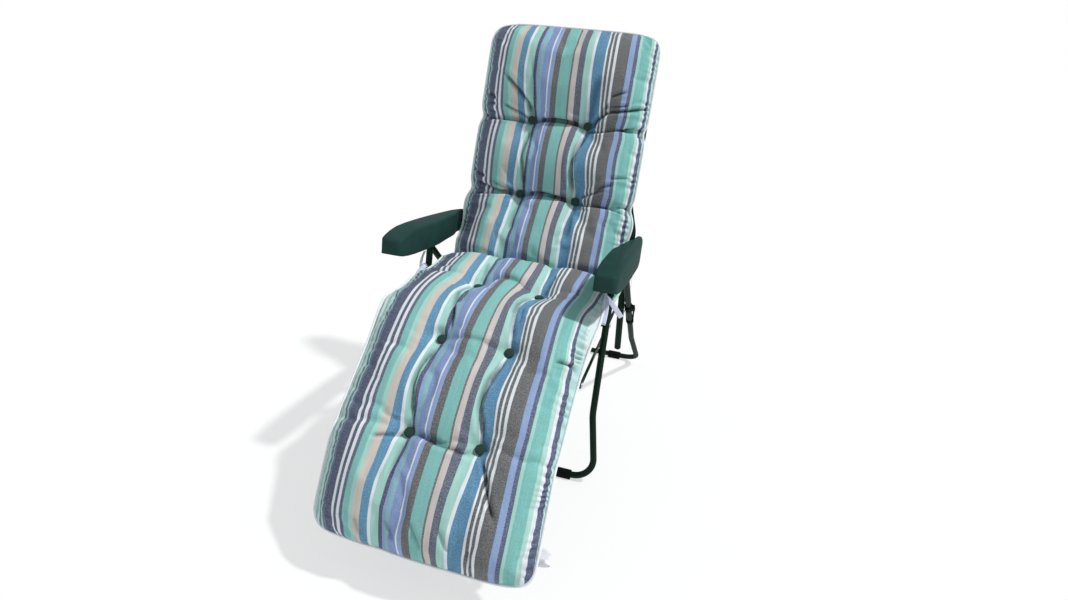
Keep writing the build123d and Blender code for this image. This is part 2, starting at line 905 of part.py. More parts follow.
def foot_cushion():
    half = cushion_half_width
    bend = foot_bend_distance
    stations = [
        station(foot_station(foot_cushion_length), "end", half),
        station(foot_station(foot_cushion_length - end_run), "near_end", half),
        station(foot_station((foot_cushion_length + bend) / 2), "free", half),
    ]
    stations += tufted_stations(
        foot_plane,
        [
            (-foot_tuft_distance, "row"),
            (-(foot_tuft_distance + knee_tuft_distance) / 2, "free"),
            (-knee_tuft_distance, "row"),
            (end_run, "free"),
        ],
        half,
    )
    body = pad(stations)
    dimples = tuft_dimple(foot_plane, -knee_tuft_distance)
    dimples += tuft_dimple(foot_plane, -foot_tuft_distance)
    past_bend = foot_cushion_length - bend
    bend_overlap = cushion_base * math.tan(math.radians(foot_bend_angle))
    slabs = [
        clear_under(foot_station(bend), -bend, bend_overlap),
        clear_under(foot_station(foot_cushion_length), -past_bend, past_bend),
    ]
    body = without(body, dimples + slabs + [fold_relief(knee_hinge)])
    knee_middle = 90 + foot_slope / 2
    return body - fold_cutter(knee_hinge, knee_middle + knee_gap_angle, False)


def clear_under(cross, footward_from, footward_to):
    """The room for the sling and tubes under a straight run of the pad."""
    slab = Box(
        cushion_half_width * 2 + cushion_height,
        cushion_height,
        footward_to - footward_from,
        align=(Align.CENTER, Align.MAX, Align.MIN),
    )
    return cross.location * Pos(0, cushion_base, footward_from) * slab


def knee_fold():
    """The stretch of pad that bends over the knee hinge, a fan between the two straight lengths."""
    first = 90 + foot_slope / 2 - knee_gap_angle + fold_seam_angle
    half = (cushion_half_width + seat_cushion_half_width) / 2
    plane = Plane(origin=knee_hinge, x_dir=(1, 0, 0), z_dir=Vector(1, 0, 0).cross(unit(first)))
    section = PadStation(plane, half, cushion_height, free_dip).face()
    turn = (knee_gap_angle - fold_seam_angle) * 2
    return revolve(section, Axis(knee_hinge, (1, 0, 0)), turn) - fold_relief(knee_hinge)


def foot_station(distance):
    """Plane across the bent end of the footrest."""
    turn = foot_direction(distance)
    centre = foot_point(0, distance, 0)
    up = foot_plane.z_dir.rotate(Axis.X, turn)
    return Plane(origin=centre, x_dir=(1, 0, 0), z_dir=Vector(1, 0, 0).cross(up))


def tuft_buttons(member, distances):
    """Domed buttons seated on the floors of their pockets."""
    floor = cushion_base + cushion_height * row_crown_share - row_dip - button_height / 2
    dome = Cylinder(button_r, button_height, align=(Align.CENTER, Align.CENTER, Align.MIN))
    dome = fillet(dome.edges().sort_by(Axis.Z)[-1], button_edge)
    return [
        placed(member, Pos(side * tuft_spacing, distance, floor + running_gap) * dome)
        for distance in distances
        for side in (-1, 1)
    ]


def cushion_ties():
    """Ribbons that tie the pad to the back tubes: a loop, a knot and two hanging tails."""
    loop_r = frame_tube_r + running_gap
    loop = Cylinder(loop_r + tie_thickness, tie_width) - Cylinder(loop_r, tie_width * 2)
    knot = fillet(Box(tie_knot, tie_knot, tie_width).edges(), tie_knot_fillet)
    knot_x = loop_r + tie_knot / 2
    centre = at(back_plane, back_tube_x, tie_distance, 0)
    seat = Plane(origin=centre, x_dir=(1, 0, 0), z_dir=back_plane.y_dir)
    body = seat.location * (loop + Pos(knot_x, 0, 0) * knot)
    tail_x = frame_tube_r + running_gap * 2 + pin_head_height + tie_thickness
    knot_centre = seat.from_local_coords(Vector(tail_x, 0, 0))
    for lean, length in ((-1, tie_short_tail_length), (1, tie_tail_length)):
        tail_end = knot_centre + Vector(0, lean * length * tie_lean_share, -length)
        middle = (knot_centre + tail_end) * 0.5 + Vector(0, lean * tie_width / 2, 0)
        route = ThreePointArc(knot_centre, middle, tail_end)
        start = Plane(origin=route @ 0, x_dir=(1, 0, 0), z_dir=route % 0)
        body = body + sweep(start * Rectangle(tie_thickness, tie_width), path=route)
    return pair(body)


def cushion_tab(cushion):
    """Blank fabric tab sewn into the pad's right edge near the foot end."""
    place = foot_station(tab_distance)
    x_edge = cushion_half_width - cushion_shoulder
    height = cushion_base + cushion_edge_height / 2
    tab = Box(tab_width, tab_thickness, tab_length, align=(Align.MIN, Align.CENTER, Align.CENTER))
    return place.location * Pos(x_edge, height, 0) * tab - cushion


nodes = {
    "seat_side_rails": pair(seat_rail()),
    "seat_cross_tubes": seat_cross_tubes(),
    "seat_sling": [seat_sling()],
    "seat_cushion": [seat_cushion()],
    "seat_buttons": tuft_buttons(seat_plane, [-seat_length + seat_tuft_distance]),
    "cushion_knee_fold": [knee_fold()],
    "back_hinge_pins": back_hinge_pins(),
    "knee_hinge_pins": knee_pins(),
    "leg_pivot_pins": leg_pivot_pins(),
    "pivot_spacers": spacer_bushes(),
    "back_frame": [back_frame()],
    "back_cross_tube": [back_cross_tube()],
    "back_lever_caps": lever_caps(),
    "back_sling": [back_sling()],
    "back_cushion": [back_cushion()],
    "back_buttons": tuft_buttons(back_plane, [lower_tuft_distance, upper_tuft_distance]),
    "back_link_pins": link_pins_rear(),
    "arm_pivot_pins": arm_pivot_pins(),
    "cushion_ties": cushion_ties(),
    "footrest_frame": [footrest_frame()],
    "footrest_knee_plates": pair(knee_plate()),
    "footrest_rivets": knee_rivets(),
    "footrest_link_pins": link_pins_front(),
    "footrest_sling": [foot_sling()],
    "footrest_cushion": [foot_cushion()],
    "footrest_buttons": tuft_buttons(foot_plane, [-knee_tuft_distance, -foot_tuft_distance]),
    "cushion_tab": [cushion_tab(foot_cushion())],
    "sync_link_right": [sync_link()],
    "sync_link_left": [mirror(sync_link(), about=Plane.YZ)],
    "front_leg_frame": [front_leg_frame()],
    "front_leg_feet": foot_pads(front_leg_x, front_leg_x_splay, front_leg_at),
    "rear_leg_frame": [rear_leg_frame()],
    "rear_leg_feet": foot_pads(rear_leg_x, rear_leg_x_splay, rear_leg_at),
    "rear_leg_clips": leg_clips(),
    "apex_pins": apex_pins(),
    "arm_rest_right": [arm_moulding()],
    "arm_rack_right": [arm_rack()],
    "arm_rest_left": [mirror(arm_moulding(), about=Plane.YZ)],
    "arm_rack_left": [mirror(arm_rack(), about=Plane.YZ)],
}


os.makedirs("parts", exist_ok=True)
low = [math.inf] * 3
high = [-math.inf] * 3
for name, solids in nodes.items():
    whole = Compound(children=[s for piece in solids for s in piece.solids()])
    export_step(whole, f"parts/{name}.step")
    box = whole.bounding_box()
    low = [min(a, b) for a, b in zip(low, box.min)]
    high = [max(a, b) for a, b in zip(high, box.max)]
print("box low", [round(v, 2) for v in low], "high", [round(v, 2) for v in high])
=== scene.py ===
"""Looks of the reclining garden armchair: cushion, piping, buttons, arm rests, ribbons, finishes."""

import math

import bpy
import numpy as np
from mathutils import Matrix, Vector


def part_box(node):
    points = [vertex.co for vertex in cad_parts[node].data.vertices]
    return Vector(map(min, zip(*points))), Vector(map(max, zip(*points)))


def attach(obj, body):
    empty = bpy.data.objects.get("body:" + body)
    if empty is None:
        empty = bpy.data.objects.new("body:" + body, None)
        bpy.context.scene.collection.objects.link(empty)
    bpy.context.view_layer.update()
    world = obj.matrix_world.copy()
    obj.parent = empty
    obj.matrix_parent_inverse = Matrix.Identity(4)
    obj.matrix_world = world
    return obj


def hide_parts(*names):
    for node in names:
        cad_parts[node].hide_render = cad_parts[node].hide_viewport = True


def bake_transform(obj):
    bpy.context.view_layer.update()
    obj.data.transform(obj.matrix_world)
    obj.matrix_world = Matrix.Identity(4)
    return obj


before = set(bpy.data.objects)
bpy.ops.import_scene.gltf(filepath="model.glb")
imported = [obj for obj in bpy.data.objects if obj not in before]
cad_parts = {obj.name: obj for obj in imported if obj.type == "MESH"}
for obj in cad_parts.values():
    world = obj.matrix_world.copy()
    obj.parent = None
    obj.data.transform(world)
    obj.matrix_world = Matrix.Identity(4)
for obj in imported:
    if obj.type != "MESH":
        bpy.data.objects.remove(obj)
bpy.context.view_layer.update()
scene = bpy.context.scene
scene.view_settings.view_transform = "Standard"
bpy.ops.object.select_all(action="DESELECT")


# Camera, light and floor

def aim_camera():
    """The photograph's viewpoint: turn round the chair, height, roll and distance."""
    turn, rise, roll = (math.radians(angle) for angle in (14.83, 24.38, 4.26))
    distance = 1.991
    target = Vector((0, 0.1718, 0.388))
    back = Vector((math.sin(turn) * math.cos(rise), -math.cos(turn) * math.cos(rise), math.sin(rise)))
    right = Vector((math.cos(turn), math.sin(turn), 0))
    up = back.cross(right)
    right_rolled = right * math.cos(roll) + up * math.sin(roll)
    up_rolled = up * math.cos(roll) - right * math.sin(roll)
    turned = Matrix((right_rolled, up_rolled, back)).transposed()
    bpy.ops.object.camera_add()
    camera = bpy.context.object
    camera.matrix_world = Matrix.Translation(target + back * distance) @ turned.to_4x4()
    camera.data.sensor_width = 36
    camera.data.lens = 22.21
    scene.camera = camera


def add_sun(name, place, toward, power, width):
    """A sun that shines from one place toward another; width is its disc in degrees."""
    data = bpy.data.lights.new(name, "SUN")
    data.energy = power
    data.angle = math.radians(width)
    sun = bpy.data.objects.new(name, data)
    scene.collection.objects.link(sun)
    sun.location = place
    aim = Vector(toward) - Vector(place)
    sun.rotation_euler = aim.to_track_quat("-Z", "Y").to_euler()


# Shader maths

class Wire:
    """A number on its way through a node tree; arithmetic on it adds Math nodes."""

    def __init__(self, tree, socket):
        self.tree = tree
        self.socket = socket

    def maths(self, operation, *values):
        return self.tree.node("ShaderNodeMath", {"operation": operation}, *values)[0]

    def __add__(self, other):
        return self.maths("ADD", self, other)

    def __radd__(self, other):
        return self.maths("ADD", other, self)

    def __sub__(self, other):
        return self.maths("SUBTRACT", self, other)

    def __rsub__(self, other):
        return self.maths("SUBTRACT", other, self)

    def __mul__(self, other):
        return self.maths("MULTIPLY", self, other)

    def __rmul__(self, other):
        return self.maths("MULTIPLY", other, self)

    def over(self, level):
        """1 where the number is above the level, else 0."""
        return self.maths("GREATER_THAN", self, level)


class Tree:
    """The nodes of a material or of the world."""

    def __init__(self, owner):
        owner.use_nodes = True
        self.nodes = owner.node_tree.nodes
        self.links = owner.node_tree.links

    def node(self, kind, settings=None, *values, **named):
        """Adds a node, sets it, then fills its sockets in order or by name; gives its outputs."""
        node = self.nodes.new(kind)
        for key, value in (settings or {}).items():
            if key == "stops":
                self.set_stops(node.color_ramp, value)
            else:
                setattr(node, key, value)
        for slot, value in enumerate(values):
            self.fill(node.inputs[slot], value)
        for key, value in named.items():
            self.fill(node.inputs[key.replace("_", " ")], value)
        return [Wire(self, output) for output in node.outputs]

    def set_stops(self, ramp, stops):
        while len(ramp.elements) < len(stops):
            ramp.elements.new(1.0)
        for element, (place, colour) in zip(ramp.elements, stops):
            element.position = place
            element.color = (*colour, 1)

    def fill(self, socket, value):
        if isinstance(value, Wire):
            self.links.new(value.socket, socket)
        else:
            socket.default_value = value

    def show(self, shader, output):
        """Sends a shader to the tree's output node."""
        self.links.new(shader.socket, self.nodes[output].inputs[0])


class Finish(Tree):
    """One material made of nodes."""

    def __init__(self, name):
        self.material = bpy.data.materials.new(name)
        super().__init__(self.material)
        self.shader = self.nodes["Principled BSDF"]

    def surface(self, **sockets):
        for key, value in sockets.items():
            self.fill(self.shader.inputs[key.replace("_", " ")], value)

    def blend_colours(self, share, first, second, how="MIX"):
        outputs = self.node("ShaderNodeMix", {"data_type": "RGBA", "blend_type": how})
        mixer = outputs[0].socket.node
        self.fill(mixer.inputs[0], share)
        self.fill(mixer.inputs[6], first)
        self.fill(mixer.inputs[7], second)
        return Wire(self, mixer.outputs[2])

    def place(self):
        return self.node("ShaderNodeTexCoord")[3]

    def grain(self, vector, size, detail=2.0, roughness=0.5):
        """Cloudy numbers from 0 to 1; size is the width of a cloud in metres."""
        look = {"Scale": 1 / size, "Detail": detail, "Roughness": roughness}
        return self.node("ShaderNodeTexNoise", None, Vector=vector, **look)[0]

    def stretch(self, vector, x, y, z):
        return self.node("ShaderNodeMapping", None, Vector=vector, Scale=(x, y, z))[0]

    def relief(self, height, depth):
        return self.node("ShaderNodeBump", None, Distance=depth, Height=height)[0]


def colour(code):
    """A screen colour written as six digits, as linear light."""
    parts = [int(code[k:k + 2], 16) / 255 for k in (0, 2, 4)]
    return tuple(c / 12.92 if c <= 0.04045 else ((c + 0.055) / 1.055) ** 2.4 for c in parts)


def tone(code):
    return (*colour(code), 1)


# Finishes

def painted_tube():
    paint = Finish("green_enamel")
    place = paint.place()
    clouds = paint.grain(place, 0.05)
    orange_peel = paint.grain(place, 0.0025, detail=1.0)
    base = paint.blend_colours(clouds, tone("0b2017"), tone("122c20"))
    paint.surface(Base_Color=base, Roughness=0.30 + clouds * 0.14, Specular_IOR_Level=0.0)
    paint.surface(Coat_Weight=0.18, Coat_Roughness=0.12)
    paint.surface(Normal=paint.relief(orange_peel, 0.00008))
    return paint.material


def steel(name, light, dark, roughness):
    metal = Finish(name)
    place = metal.place()
    clouds = metal.grain(place, 0.012)
    drawn = metal.grain(metal.stretch(place, 1, 0.08, 1), 0.0012, detail=1.0)
    base = metal.blend_colours(clouds, tone(dark), tone(light))
    metal.surface(Base_Color=base, Metallic=1.0, Roughness=roughness + clouds * 0.18)
    metal.surface(Normal=metal.relief(drawn, 0.00004))
    return metal.material


def moulded_plastic(name, dark, light, roughness, depth):
    plastic = Finish(name)
    place = plastic.place()
    clouds = plastic.grain(place, 0.06)
    stipple = plastic.grain(place, 0.0011, detail=2.0)
    base = plastic.blend_colours(clouds, tone(dark), tone(light))
    plastic.surface(Base_Color=base, Roughness=roughness + stipple * 0.12, Specular_IOR_Level=0.0)
    plastic.surface(Coat_Weight=0.06, Coat_Roughness=0.10)
    plastic.surface(Normal=plastic.relief(stipple, depth))
    return plastic.material


def woven_cloth(name, dark, light):
    cloth = Finish(name)
    place = cloth.place()
    warp = cloth.grain(cloth.stretch(place, 1, 0.1, 0.1), 0.0009, detail=1.0)
    weft = cloth.grain(cloth.stretch(place, 0.1, 1, 1), 0.0009, detail=1.0)
    weave = (warp + weft) * 0.5
    base = cloth.blend_colours(weave, tone(dark), tone(light))
    cloth.surface(Base_Color=base, Roughness=0.88, Sheen_Weight=0.06, Sheen_Roughness=0.5)
    cloth.surface(Normal=cloth.relief(weave, 0.00025))
    return cloth.material


# The cushion's half width and corners in metres, and the width of cloth that the stripes cover
half_width = 0.248
corner_radius = 0.066
cloth_span = 0.60

# Stripes across the cushion: where each ends, in mm from the middle, and its colour
stripe_ends = [
    (-263, "8fb4ab"), (-257, "dff3ee"), (-250, "9fc8c2"), (-241, "cdeee6"), (-234, "5f7684"),
    (-228, "a8ddd0"), (-222, "5b6f88"), (-197, "3a3f66"),
    (-191, "f3f7fa"), (-185, "40446a"), (-178, "f3f7fa"), (-171, "4f5570"), (-155, "7cc4bd"),
    (-147, "a8ddd0"), (-129, "d9cdbf"), (-112, "4c8fb5"), (-105, "f3f7fa"), (-86, "a8ddd0"),
    (-75, "3a3f66"), (-68, "8fa8d8"), (-60, "86bcc4"), (-41, "8097cc"), (-36, "f3f7fa"),
    (-26, "8fa8d8"), (-10, "5c5856"), (19, "7cc4bd"), (24, "6b6360"), (39, "d8ccc6"),
    (54, "54586e"), (72, "a8ddd0"), (78, "f3f7fa"), (106, "4688b0"), (111, "f3f7fa"),
    (118, "5c5856"), (123, "f3f7fa"), (131, "5c5856"), (137, "f3f7fa"), (167, "5c5856"),
    (181, "8fa8d8"), (191, "4a5078"), (197, "a8ddd0"), (224, "74c2ba"), (230, "b4e2d6"),
    (236, "f3f7fa"), (242, "474c74"), (256, "c4ece6"), (280, "e4f3f2"),
]


def striped_cloth():
    """Chambray stripes: bands of colour with paler threads crossing them, a fine weave, and painted
    shade darkening the folds and gathers.
    """
    cloth = Finish("striped_cotton")
    layout = cloth.node("ShaderNodeAttribute", {"attribute_name": "cloth_layout"})[1]
    across, along, _ = cloth.node("ShaderNodeSeparateXYZ", None, layout)
    ragged = cloth.grain(cloth.stretch(layout, 0.2, 1, 1), 0.004, detail=2.0) - 0.5
    drift = cloth.node("ShaderNodeAttribute", {"attribute_name": "stripe_drift"})[2]
    share = (across + drift + ragged * 0.0016 - 0.5) * (2 * half_width / cloth_span) + 0.5
    places = [0.0] + [0.5 + end / 1000 / cloth_span for end, _ in stripe_ends[:-1]]
    half = len(stripe_ends) // 2
    ramps = []
    for group in (range(half), range(half, len(stripe_ends))):
        stops = [(places[k], colour(stripe_ends[k][1])) for k in group]
        ramp = cloth.node("ShaderNodeValToRGB", {"stops": stops}, share)
        ramp[0].socket.node.color_ramp.interpolation = "CONSTANT"
        ramps.append(ramp[0])
    base = cloth.blend_colours(share.over(places[half]), ramps[0], ramps[1])
    warp = cloth.grain(cloth.stretch(layout, 0.5, 0.04, 1), 0.0007, detail=1.0)
    weft = cloth.grain(cloth.stretch(layout, 0.03, 1, 1), 0.0009, detail=1.0)
    slubs = cloth.grain(cloth.stretch(layout, 0.5, 0.06, 1), 0.006, detail=3.0, roughness=0.6)
    weave = (warp + weft) * 0.5
    flecks = cloth.grain(cloth.stretch(layout, 0.5, 1, 1), 0.0032, detail=3.0, roughness=0.7)
    pale = cloth.blend_colours(weft * 0.10 + (flecks - 0.42) * 0.9, base, tone("dfecf0"))
    streaked = cloth.blend_colours(0.30 * slubs, pale, tone("3a4a60"), "MULTIPLY")
    # Painted shade: the colour is multiplied toward dark 2c3a48 in the folds and the hollows of the
    # gathers, where shade falls.
    crease_shade_share = cloth.node("ShaderNodeAttribute", {"attribute_name": "fold_depth"})[2]
    painted_shade_colour = cloth.blend_colours(crease_shade_share * 0.72, streaked, tone("2c3a48"), "MULTIPLY")
    cloth.surface(Base_Color=painted_shade_colour, Roughness=0.9, Sheen_Weight=0.04, Sheen_Roughness=0.5)
    cloth.surface(Specular_IOR_Level=0.25)
    cloth.surface(Normal=cloth.relief(weave, 0.0002))
    return cloth.material


def mode(name):
    bpy.ops.object.mode_set(mode=name)


# The cushion's line along the chair

head = Vector((0, 0.350, 0.937))
back_face = Vector((0, -0.937, 0.350))
rail_height = 0.455
hip = Vector((0, 0.2098, rail_height))
knee = Vector((0, -0.2582, rail_height))
foot_down = Vector((0, -0.766, -0.643))
foot_face = Vector((0, -0.643, 0.766))
toe_down = Vector((0, -0.5, -0.866))
toe_face = Vector((0, -0.866, 0.5))
bend_at = 0.290
bend = knee + foot_down * bend_at


def on_back(distance, height):
    return hip + head * distance + back_face * height


def on_seat(y, height):
    return Vector((0, y, rail_height + height))


def on_foot(distance, height):
    return knee + foot_down * distance + foot_face * height


def on_toe(distance, height):
    return bend + toe_down * (distance - bend_at) + toe_face * height


# The pad from the head end to the foot end: distance and height of its top, then of its underside
pad_rows = [
    (on_back, [
        (0.720, 0.040, 0.722, 0.020), (0.706, 0.064, 0.700, 0.0125), (0.670, 0.076, 0.660, 0.0125),
        (0.580, 0.080, 0.580, 0.0125), (0.445, 0.074, 0.445, 0.0125), (0.337, 0.080, 0.337, 0.0125),
        (0.229, 0.078, 0.229, 0.0125), (0.150, 0.094, 0.155, 0.0125), (0.085, 0.122, 0.095, 0.0125),
        (0.040, 0.142, 0.040, 0.022),
    ]),
    (on_seat, [
        (0.088, 0.080, 0.190, 0.022), (0.052, 0.095, 0.130, 0.0125), (-0.010, 0.091, 0.040, 0.0125),
        (-0.091, 0.086, -0.085, 0.0125), (-0.180, 0.083, -0.170, 0.0125),
        (-0.245, 0.079, -0.235, 0.0135),
    ]),
    (on_foot, [
        (0.020, 0.082, 0.012, 0.020), (0.080, 0.080, 0.070, 0.0125), (0.149, 0.080, 0.149, 0.0125),
        (0.225, 0.079, 0.220, 0.0125), (0.290, 0.078, 0.284, 0.0125),
    ]),
    (on_toe, [
        (0.330, 0.077, 0.318, 0.0125), (0.400, 0.078, 0.390, 0.0125), (0.460, 0.074, 0.450, 0.0125),
        (0.494, 0.058, 0.488, 0.0125), (0.507, 0.036, 0.507, 0.020),
    ]),
]
pad_line = [
    (place(top_at, top), place(low_at, low))
    for place, rows in pad_rows for top_at, top, low_at, low in rows
]

# The buttons' distance from the middle, and their rows' distances from the head end
tuft_x = 0.083
button_rows = {}


class PadLine:
    """Smooth top and underside lines through the pad's control points."""

    def __init__(self, points):
        self.tops = np.array([[top.y, top.z] for top, _ in points])
        self.lows = np.array([[low.y, low.z] for _, low in points])
        steps = np.linalg.norm(np.diff(self.tops, axis=0), axis=1)
        self.marks = np.concatenate([[0], np.cumsum(steps)])
        self.length = self.marks[-1]

    def smooth(self, values, at):
        """Cubic line through the points (Catmull and Rom's tangents)."""
        marks = self.marks
        slopes = np.gradient(values, marks, axis=0)
        k = np.clip(np.searchsorted(marks, at, side="right") - 1, 0, len(marks) - 2)
        span = (marks[k + 1] - marks[k])[:, None]
        t = ((at - marks[k]) / (marks[k + 1] - marks[k]))[:, None]
        a, b = values[k], values[k + 1]
        ta, tb = slopes[k] * span, slopes[k + 1] * span
        return (
            a * (2 * t**3 - 3 * t**2 + 1) + ta * (t**3 - 2 * t**2 + t)
            + b * (3 * t**2 - 2 * t**3) + tb * (t**3 - t**2)
        )

    def top(self, at):
        return self.smooth(self.tops, at)

    def low(self, at):
        return self.smooth(self.lows, at)


def station_of(line, point):
    """Distance along the pad's top of the place nearest to a point."""
    samples = np.linspace(0, line.length, 3000)
    tops = line.top(samples)
    return samples[np.argmin(np.hypot(tops[:, 0] - point.y, tops[:, 1] - point.z))]


def smooth_step(t):
    t = np.clip(t, 0, 1)
    return t * t * (3 - 2 * t)


def bulge(distance, reach):
    return np.exp(-((distance / reach) ** 2))


columns, rows = 72, 256


def end_spacing(share):
    """Rows closer together towards the rounded ends."""
    eased = share - 0.12 * np.sin(2 * math.pi * share) / (2 * math.pi)
    return (eased - eased.min()) / (eased.max() - eased.min())


def corner_cut(line, along):
    """How much the rounded corners take off the half width."""
    from_end = np.minimum(along, line.length - along)
    inside = np.clip(corner_radius - from_end, 0, corner_radius)
    return corner_radius - np.sqrt(np.maximum(corner_radius**2 - inside**2, 0))


class Blank:
    """The flat cloth of the cushion, top and underside, before it is shaped."""

    def __init__(self, line):
        bpy.ops.mesh.primitive_grid_add(x_subdivisions=columns, y_subdivisions=rows, size=2)
        self.pad = bpy.context.object
        mode("EDIT")
        bpy.ops.mesh.select_all(action="SELECT")
        bpy.ops.mesh.extrude_region_move(TRANSFORM_OT_translate={"value": (0, 0, 1)})
        mode("OBJECT")
        flat = np.array([v.co for v in self.pad.data.vertices])
        self.line = line
        self.across = flat[:, 0]
        self.along = line.length * end_spacing((1 - flat[:, 1]) / 2)
        self.upper = flat[:, 2] > 0.5
        self.half = half_width - corner_cut(line, self.along)
        self.x = self.across * self.half

    def sew_layout(self):
        """Each point's place on the flat cloth: share of the width, length in metres, and side."""
        share = 0.5 + (self.x + self.across * side_fullness(self)) / (2 * half_width)
        values = np.stack([share, self.along, np.where(self.upper, 0.0, 1.0)], axis=1)
        note(self.pad.data, "cloth_layout", "FLOAT_VECTOR", "vector", values)
        shift = drift_of_stripes(self.x, self.along) / (2 * half_width)
        note(self.pad.data, "stripe_drift", "FLOAT", "value", shift)

    def shape(self):
        """Crowned, drawn in at the buttons and in rows and columns between them."""
        line, x, along = self.line, self.x, self.along
        edge = np.abs(self.across)
        width = self.across * (self.half - row_pinches(along) + side_fullness(self))
        drawn_up = 0.016 * bulge(x + 0.10, 0.11) * smooth_step((along - line.length + 0.30) / 0.30)
        tops, lows = line.top(along - drawn_up), line.low(along - drawn_up)
        before_knee = smooth_step((line.knee + 0.03 - along) / 0.10)
        seated = smooth_step((along - line.crease) / 0.05) * before_knee
        crown = 1 - (0.50 - 0.34 * seated) * edge**4.5 - (0.12 - 0.06 * seated) * edge**2
        dip = np.zeros_like(along)
        for name, mark in button_rows.items():
            near = np.hypot(along - mark, np.abs(x) - tuft_x)
            depth, reach, pulled = row_dips[name]
            dip = np.maximum(dip, pulled * np.minimum(1.3 * bulge(near, 0.025), 1))
            between = np.abs(x) < tuft_x
            beyond = (1 - 0.4 * edge**2) * (0.3 if name == "foot_lower" else 1)
            dip = np.maximum(dip, depth * bulge(along - mark, reach) * np.where(between, 1, beyond))
        column = bulge(np.abs(x) - tuft_x, 0.030)
        buttoned = smooth_step((along - button_rows["back_upper"] + 0.10) / 0.10)
        dip = np.maximum(dip, 0.14 * column * buttoned)
        dip = np.maximum(dip, 0.22 * bulge(along - line.crease, 0.020))
        top_share = np.clip(crown - dip, 0.1, None)
        low_share = 0.34 * edge**9
        share = np.where(self.upper, np.maximum(top_share, low_share + 0.03), low_share)
        yz = lows + (tops - lows) * share[:, None]
        self.pad.data.vertices.foreach_set("co", np.column_stack([width, yz]).ravel())

    def fill_out(self):
        """Fills the pad with air, held at its underside, its seam, its buttons and the hip fold."""
        seam, under_button, steps, furthest = 0.006, 0.015, 20, 0.024
        held = ~self.upper | (np.abs(self.across) > 0.985)
        held |= (self.along < seam) | (self.along > self.line.length - seam)
        held |= np.abs(self.along - self.line.crease) < seam
        for mark in button_rows.values():
            held |= np.hypot(self.along - mark, np.abs(self.x) - tuft_x) < under_button
        group = self.pad.vertex_groups.new(name="held")
        group.add([int(k) for k in np.flatnonzero(held)], 1.0, "REPLACE")
        start = points_of(self.pad.data)
        filling = self.pad.modifiers.new("filling", "CLOTH")
        settings = {
            "vertex_group_mass": "held", "use_pressure": True, "uniform_pressure_force": 4,
            "shrink_min": -0.045, "quality": 6, "mass": 0.3, "tension_stiffness": 20,
            "compression_stiffness": 20, "shear_stiffness": 8, "bending_stiffness": 0.6,
        }
        for key, value in settings.items():
            setattr(filling.settings, key, value)
        filling.settings.effector_weights.gravity = 0
        filling.collision_settings.use_collision = False
        filling.point_cache.frame_start, filling.point_cache.frame_end = 1, steps
        for step in range(1, steps + 1):
            scene.frame_set(step)
        bpy.ops.object.modifier_apply(modifier=filling.name)
        moved = points_of(self.pad.data) - start
        far = np.linalg.norm(moved, axis=1, keepdims=True)
        allowed = np.minimum(far, furthest) / np.maximum(far, 1e-9)
        self.pad.data.vertices.foreach_set("co", (start + moved * allowed).ravel())
        scene.frame_set(1)


def points_of(mesh):
    flat = np.empty(len(mesh.vertices) * 3)
    mesh.vertices.foreach_get("co", flat)
    return flat.reshape(-1, 3)


def note(mesh, name, kind, field, values):
    """Stores a value for each point of a mesh, for the material to read."""
    attribute = mesh.attributes.new(name, kind, "POINT")
    attribute.data.foreach_set(field, values.astype(np.float32).ravel())


def row_pinches(along):
    """How much narrower the pad is beside the button rows."""
    pinch = np.zeros_like(along)
    for name, depth in (("back_upper", 0.010), ("back_lower", 0.010), ("foot_lower", 0.002)):
        pinch = pinch + depth * bulge(along - button_rows[name], 0.017)
    return pinch


# How far the stripes lie to the left of their straight lines (mm), where the cloth is drawn in
# at the buttons and swells between them: across the cushion, at lengths from the head end
drift_across = [-250, -180, -120, -80, -45, 0, 40, 75, 105, 140, 180, 215, 250]
stripe_drift = [
    (0.00, [4, 4, 4, 4, 4, 4, 4, 4, 4, 4, 4, 4, 4]),
    (0.13, [4, 4, 4, 4, 4, 4, 4, 4, 4, 4, 4, 4, 4]),
    (0.29, [4, 0, -4, -3, 2, 3, 1, -3, -3, 2, 5, 5, 2]),
    (0.38, [8, 2, -8, -14, 2, 4, 9, 12, 8, 9, 11, 10, -2]),
    (0.507, [4, 0, -4, -3, 2, 3, 1, -3, -3, 2, 5, 5, 2]),
    (0.60, [6, 2, -6, -9, 0, 3, 6, 8, 6, 8, 9, 8, 0]),
    (0.72, [2, 0, 0, 0, 0, 0, 0, 2, 2, 4, 6, 8, 6]),
    (0.90, [0, 0, -2, -3, -1, 0, 0, -4, 4, 8, 10, 14, 12]),
    (1.02, [0, 0, -5, 1, -4, -5, 4, 12, 14, 15, 19, 24, 14]),
    (1.154, [0, 0, -3, -3, -2, -2, 2, -4, 6, 10, 14, 16, 8]),
    (1.27, [3, 3, -2, 6, 2, 2, 8, 12, 10, 12, 13, 14, 2]),
    (1.38, [4, 4, 0, -3, 3, 4, 6, -4, 4, 8, 12, 12, 0]),
    (1.60, [8, 8, 6, 11, 8, 8, 13, 15, 10, 13, 13, 14, -4]),
    (1.70, [8, 8, 6, 11, 8, 8, 13, 15, 10, 13, 13, 14, -4]),
]


def drift_of_stripes(x, along):
    marks = np.array([mark for mark, _ in stripe_drift])
    shifts = np.array([np.interp(x * 1000, drift_across, row) for _, row in stripe_drift])
    k = np.clip(np.searchsorted(marks, along, side="right") - 1, 0, len(marks) - 2)
    t = smooth_step((along - marks[k]) / (marks[k + 1] - marks[k]))
    points = np.arange(len(x))
    return (shifts[k, points] * (1 - t) + shifts[k + 1, points] * t) / 1000


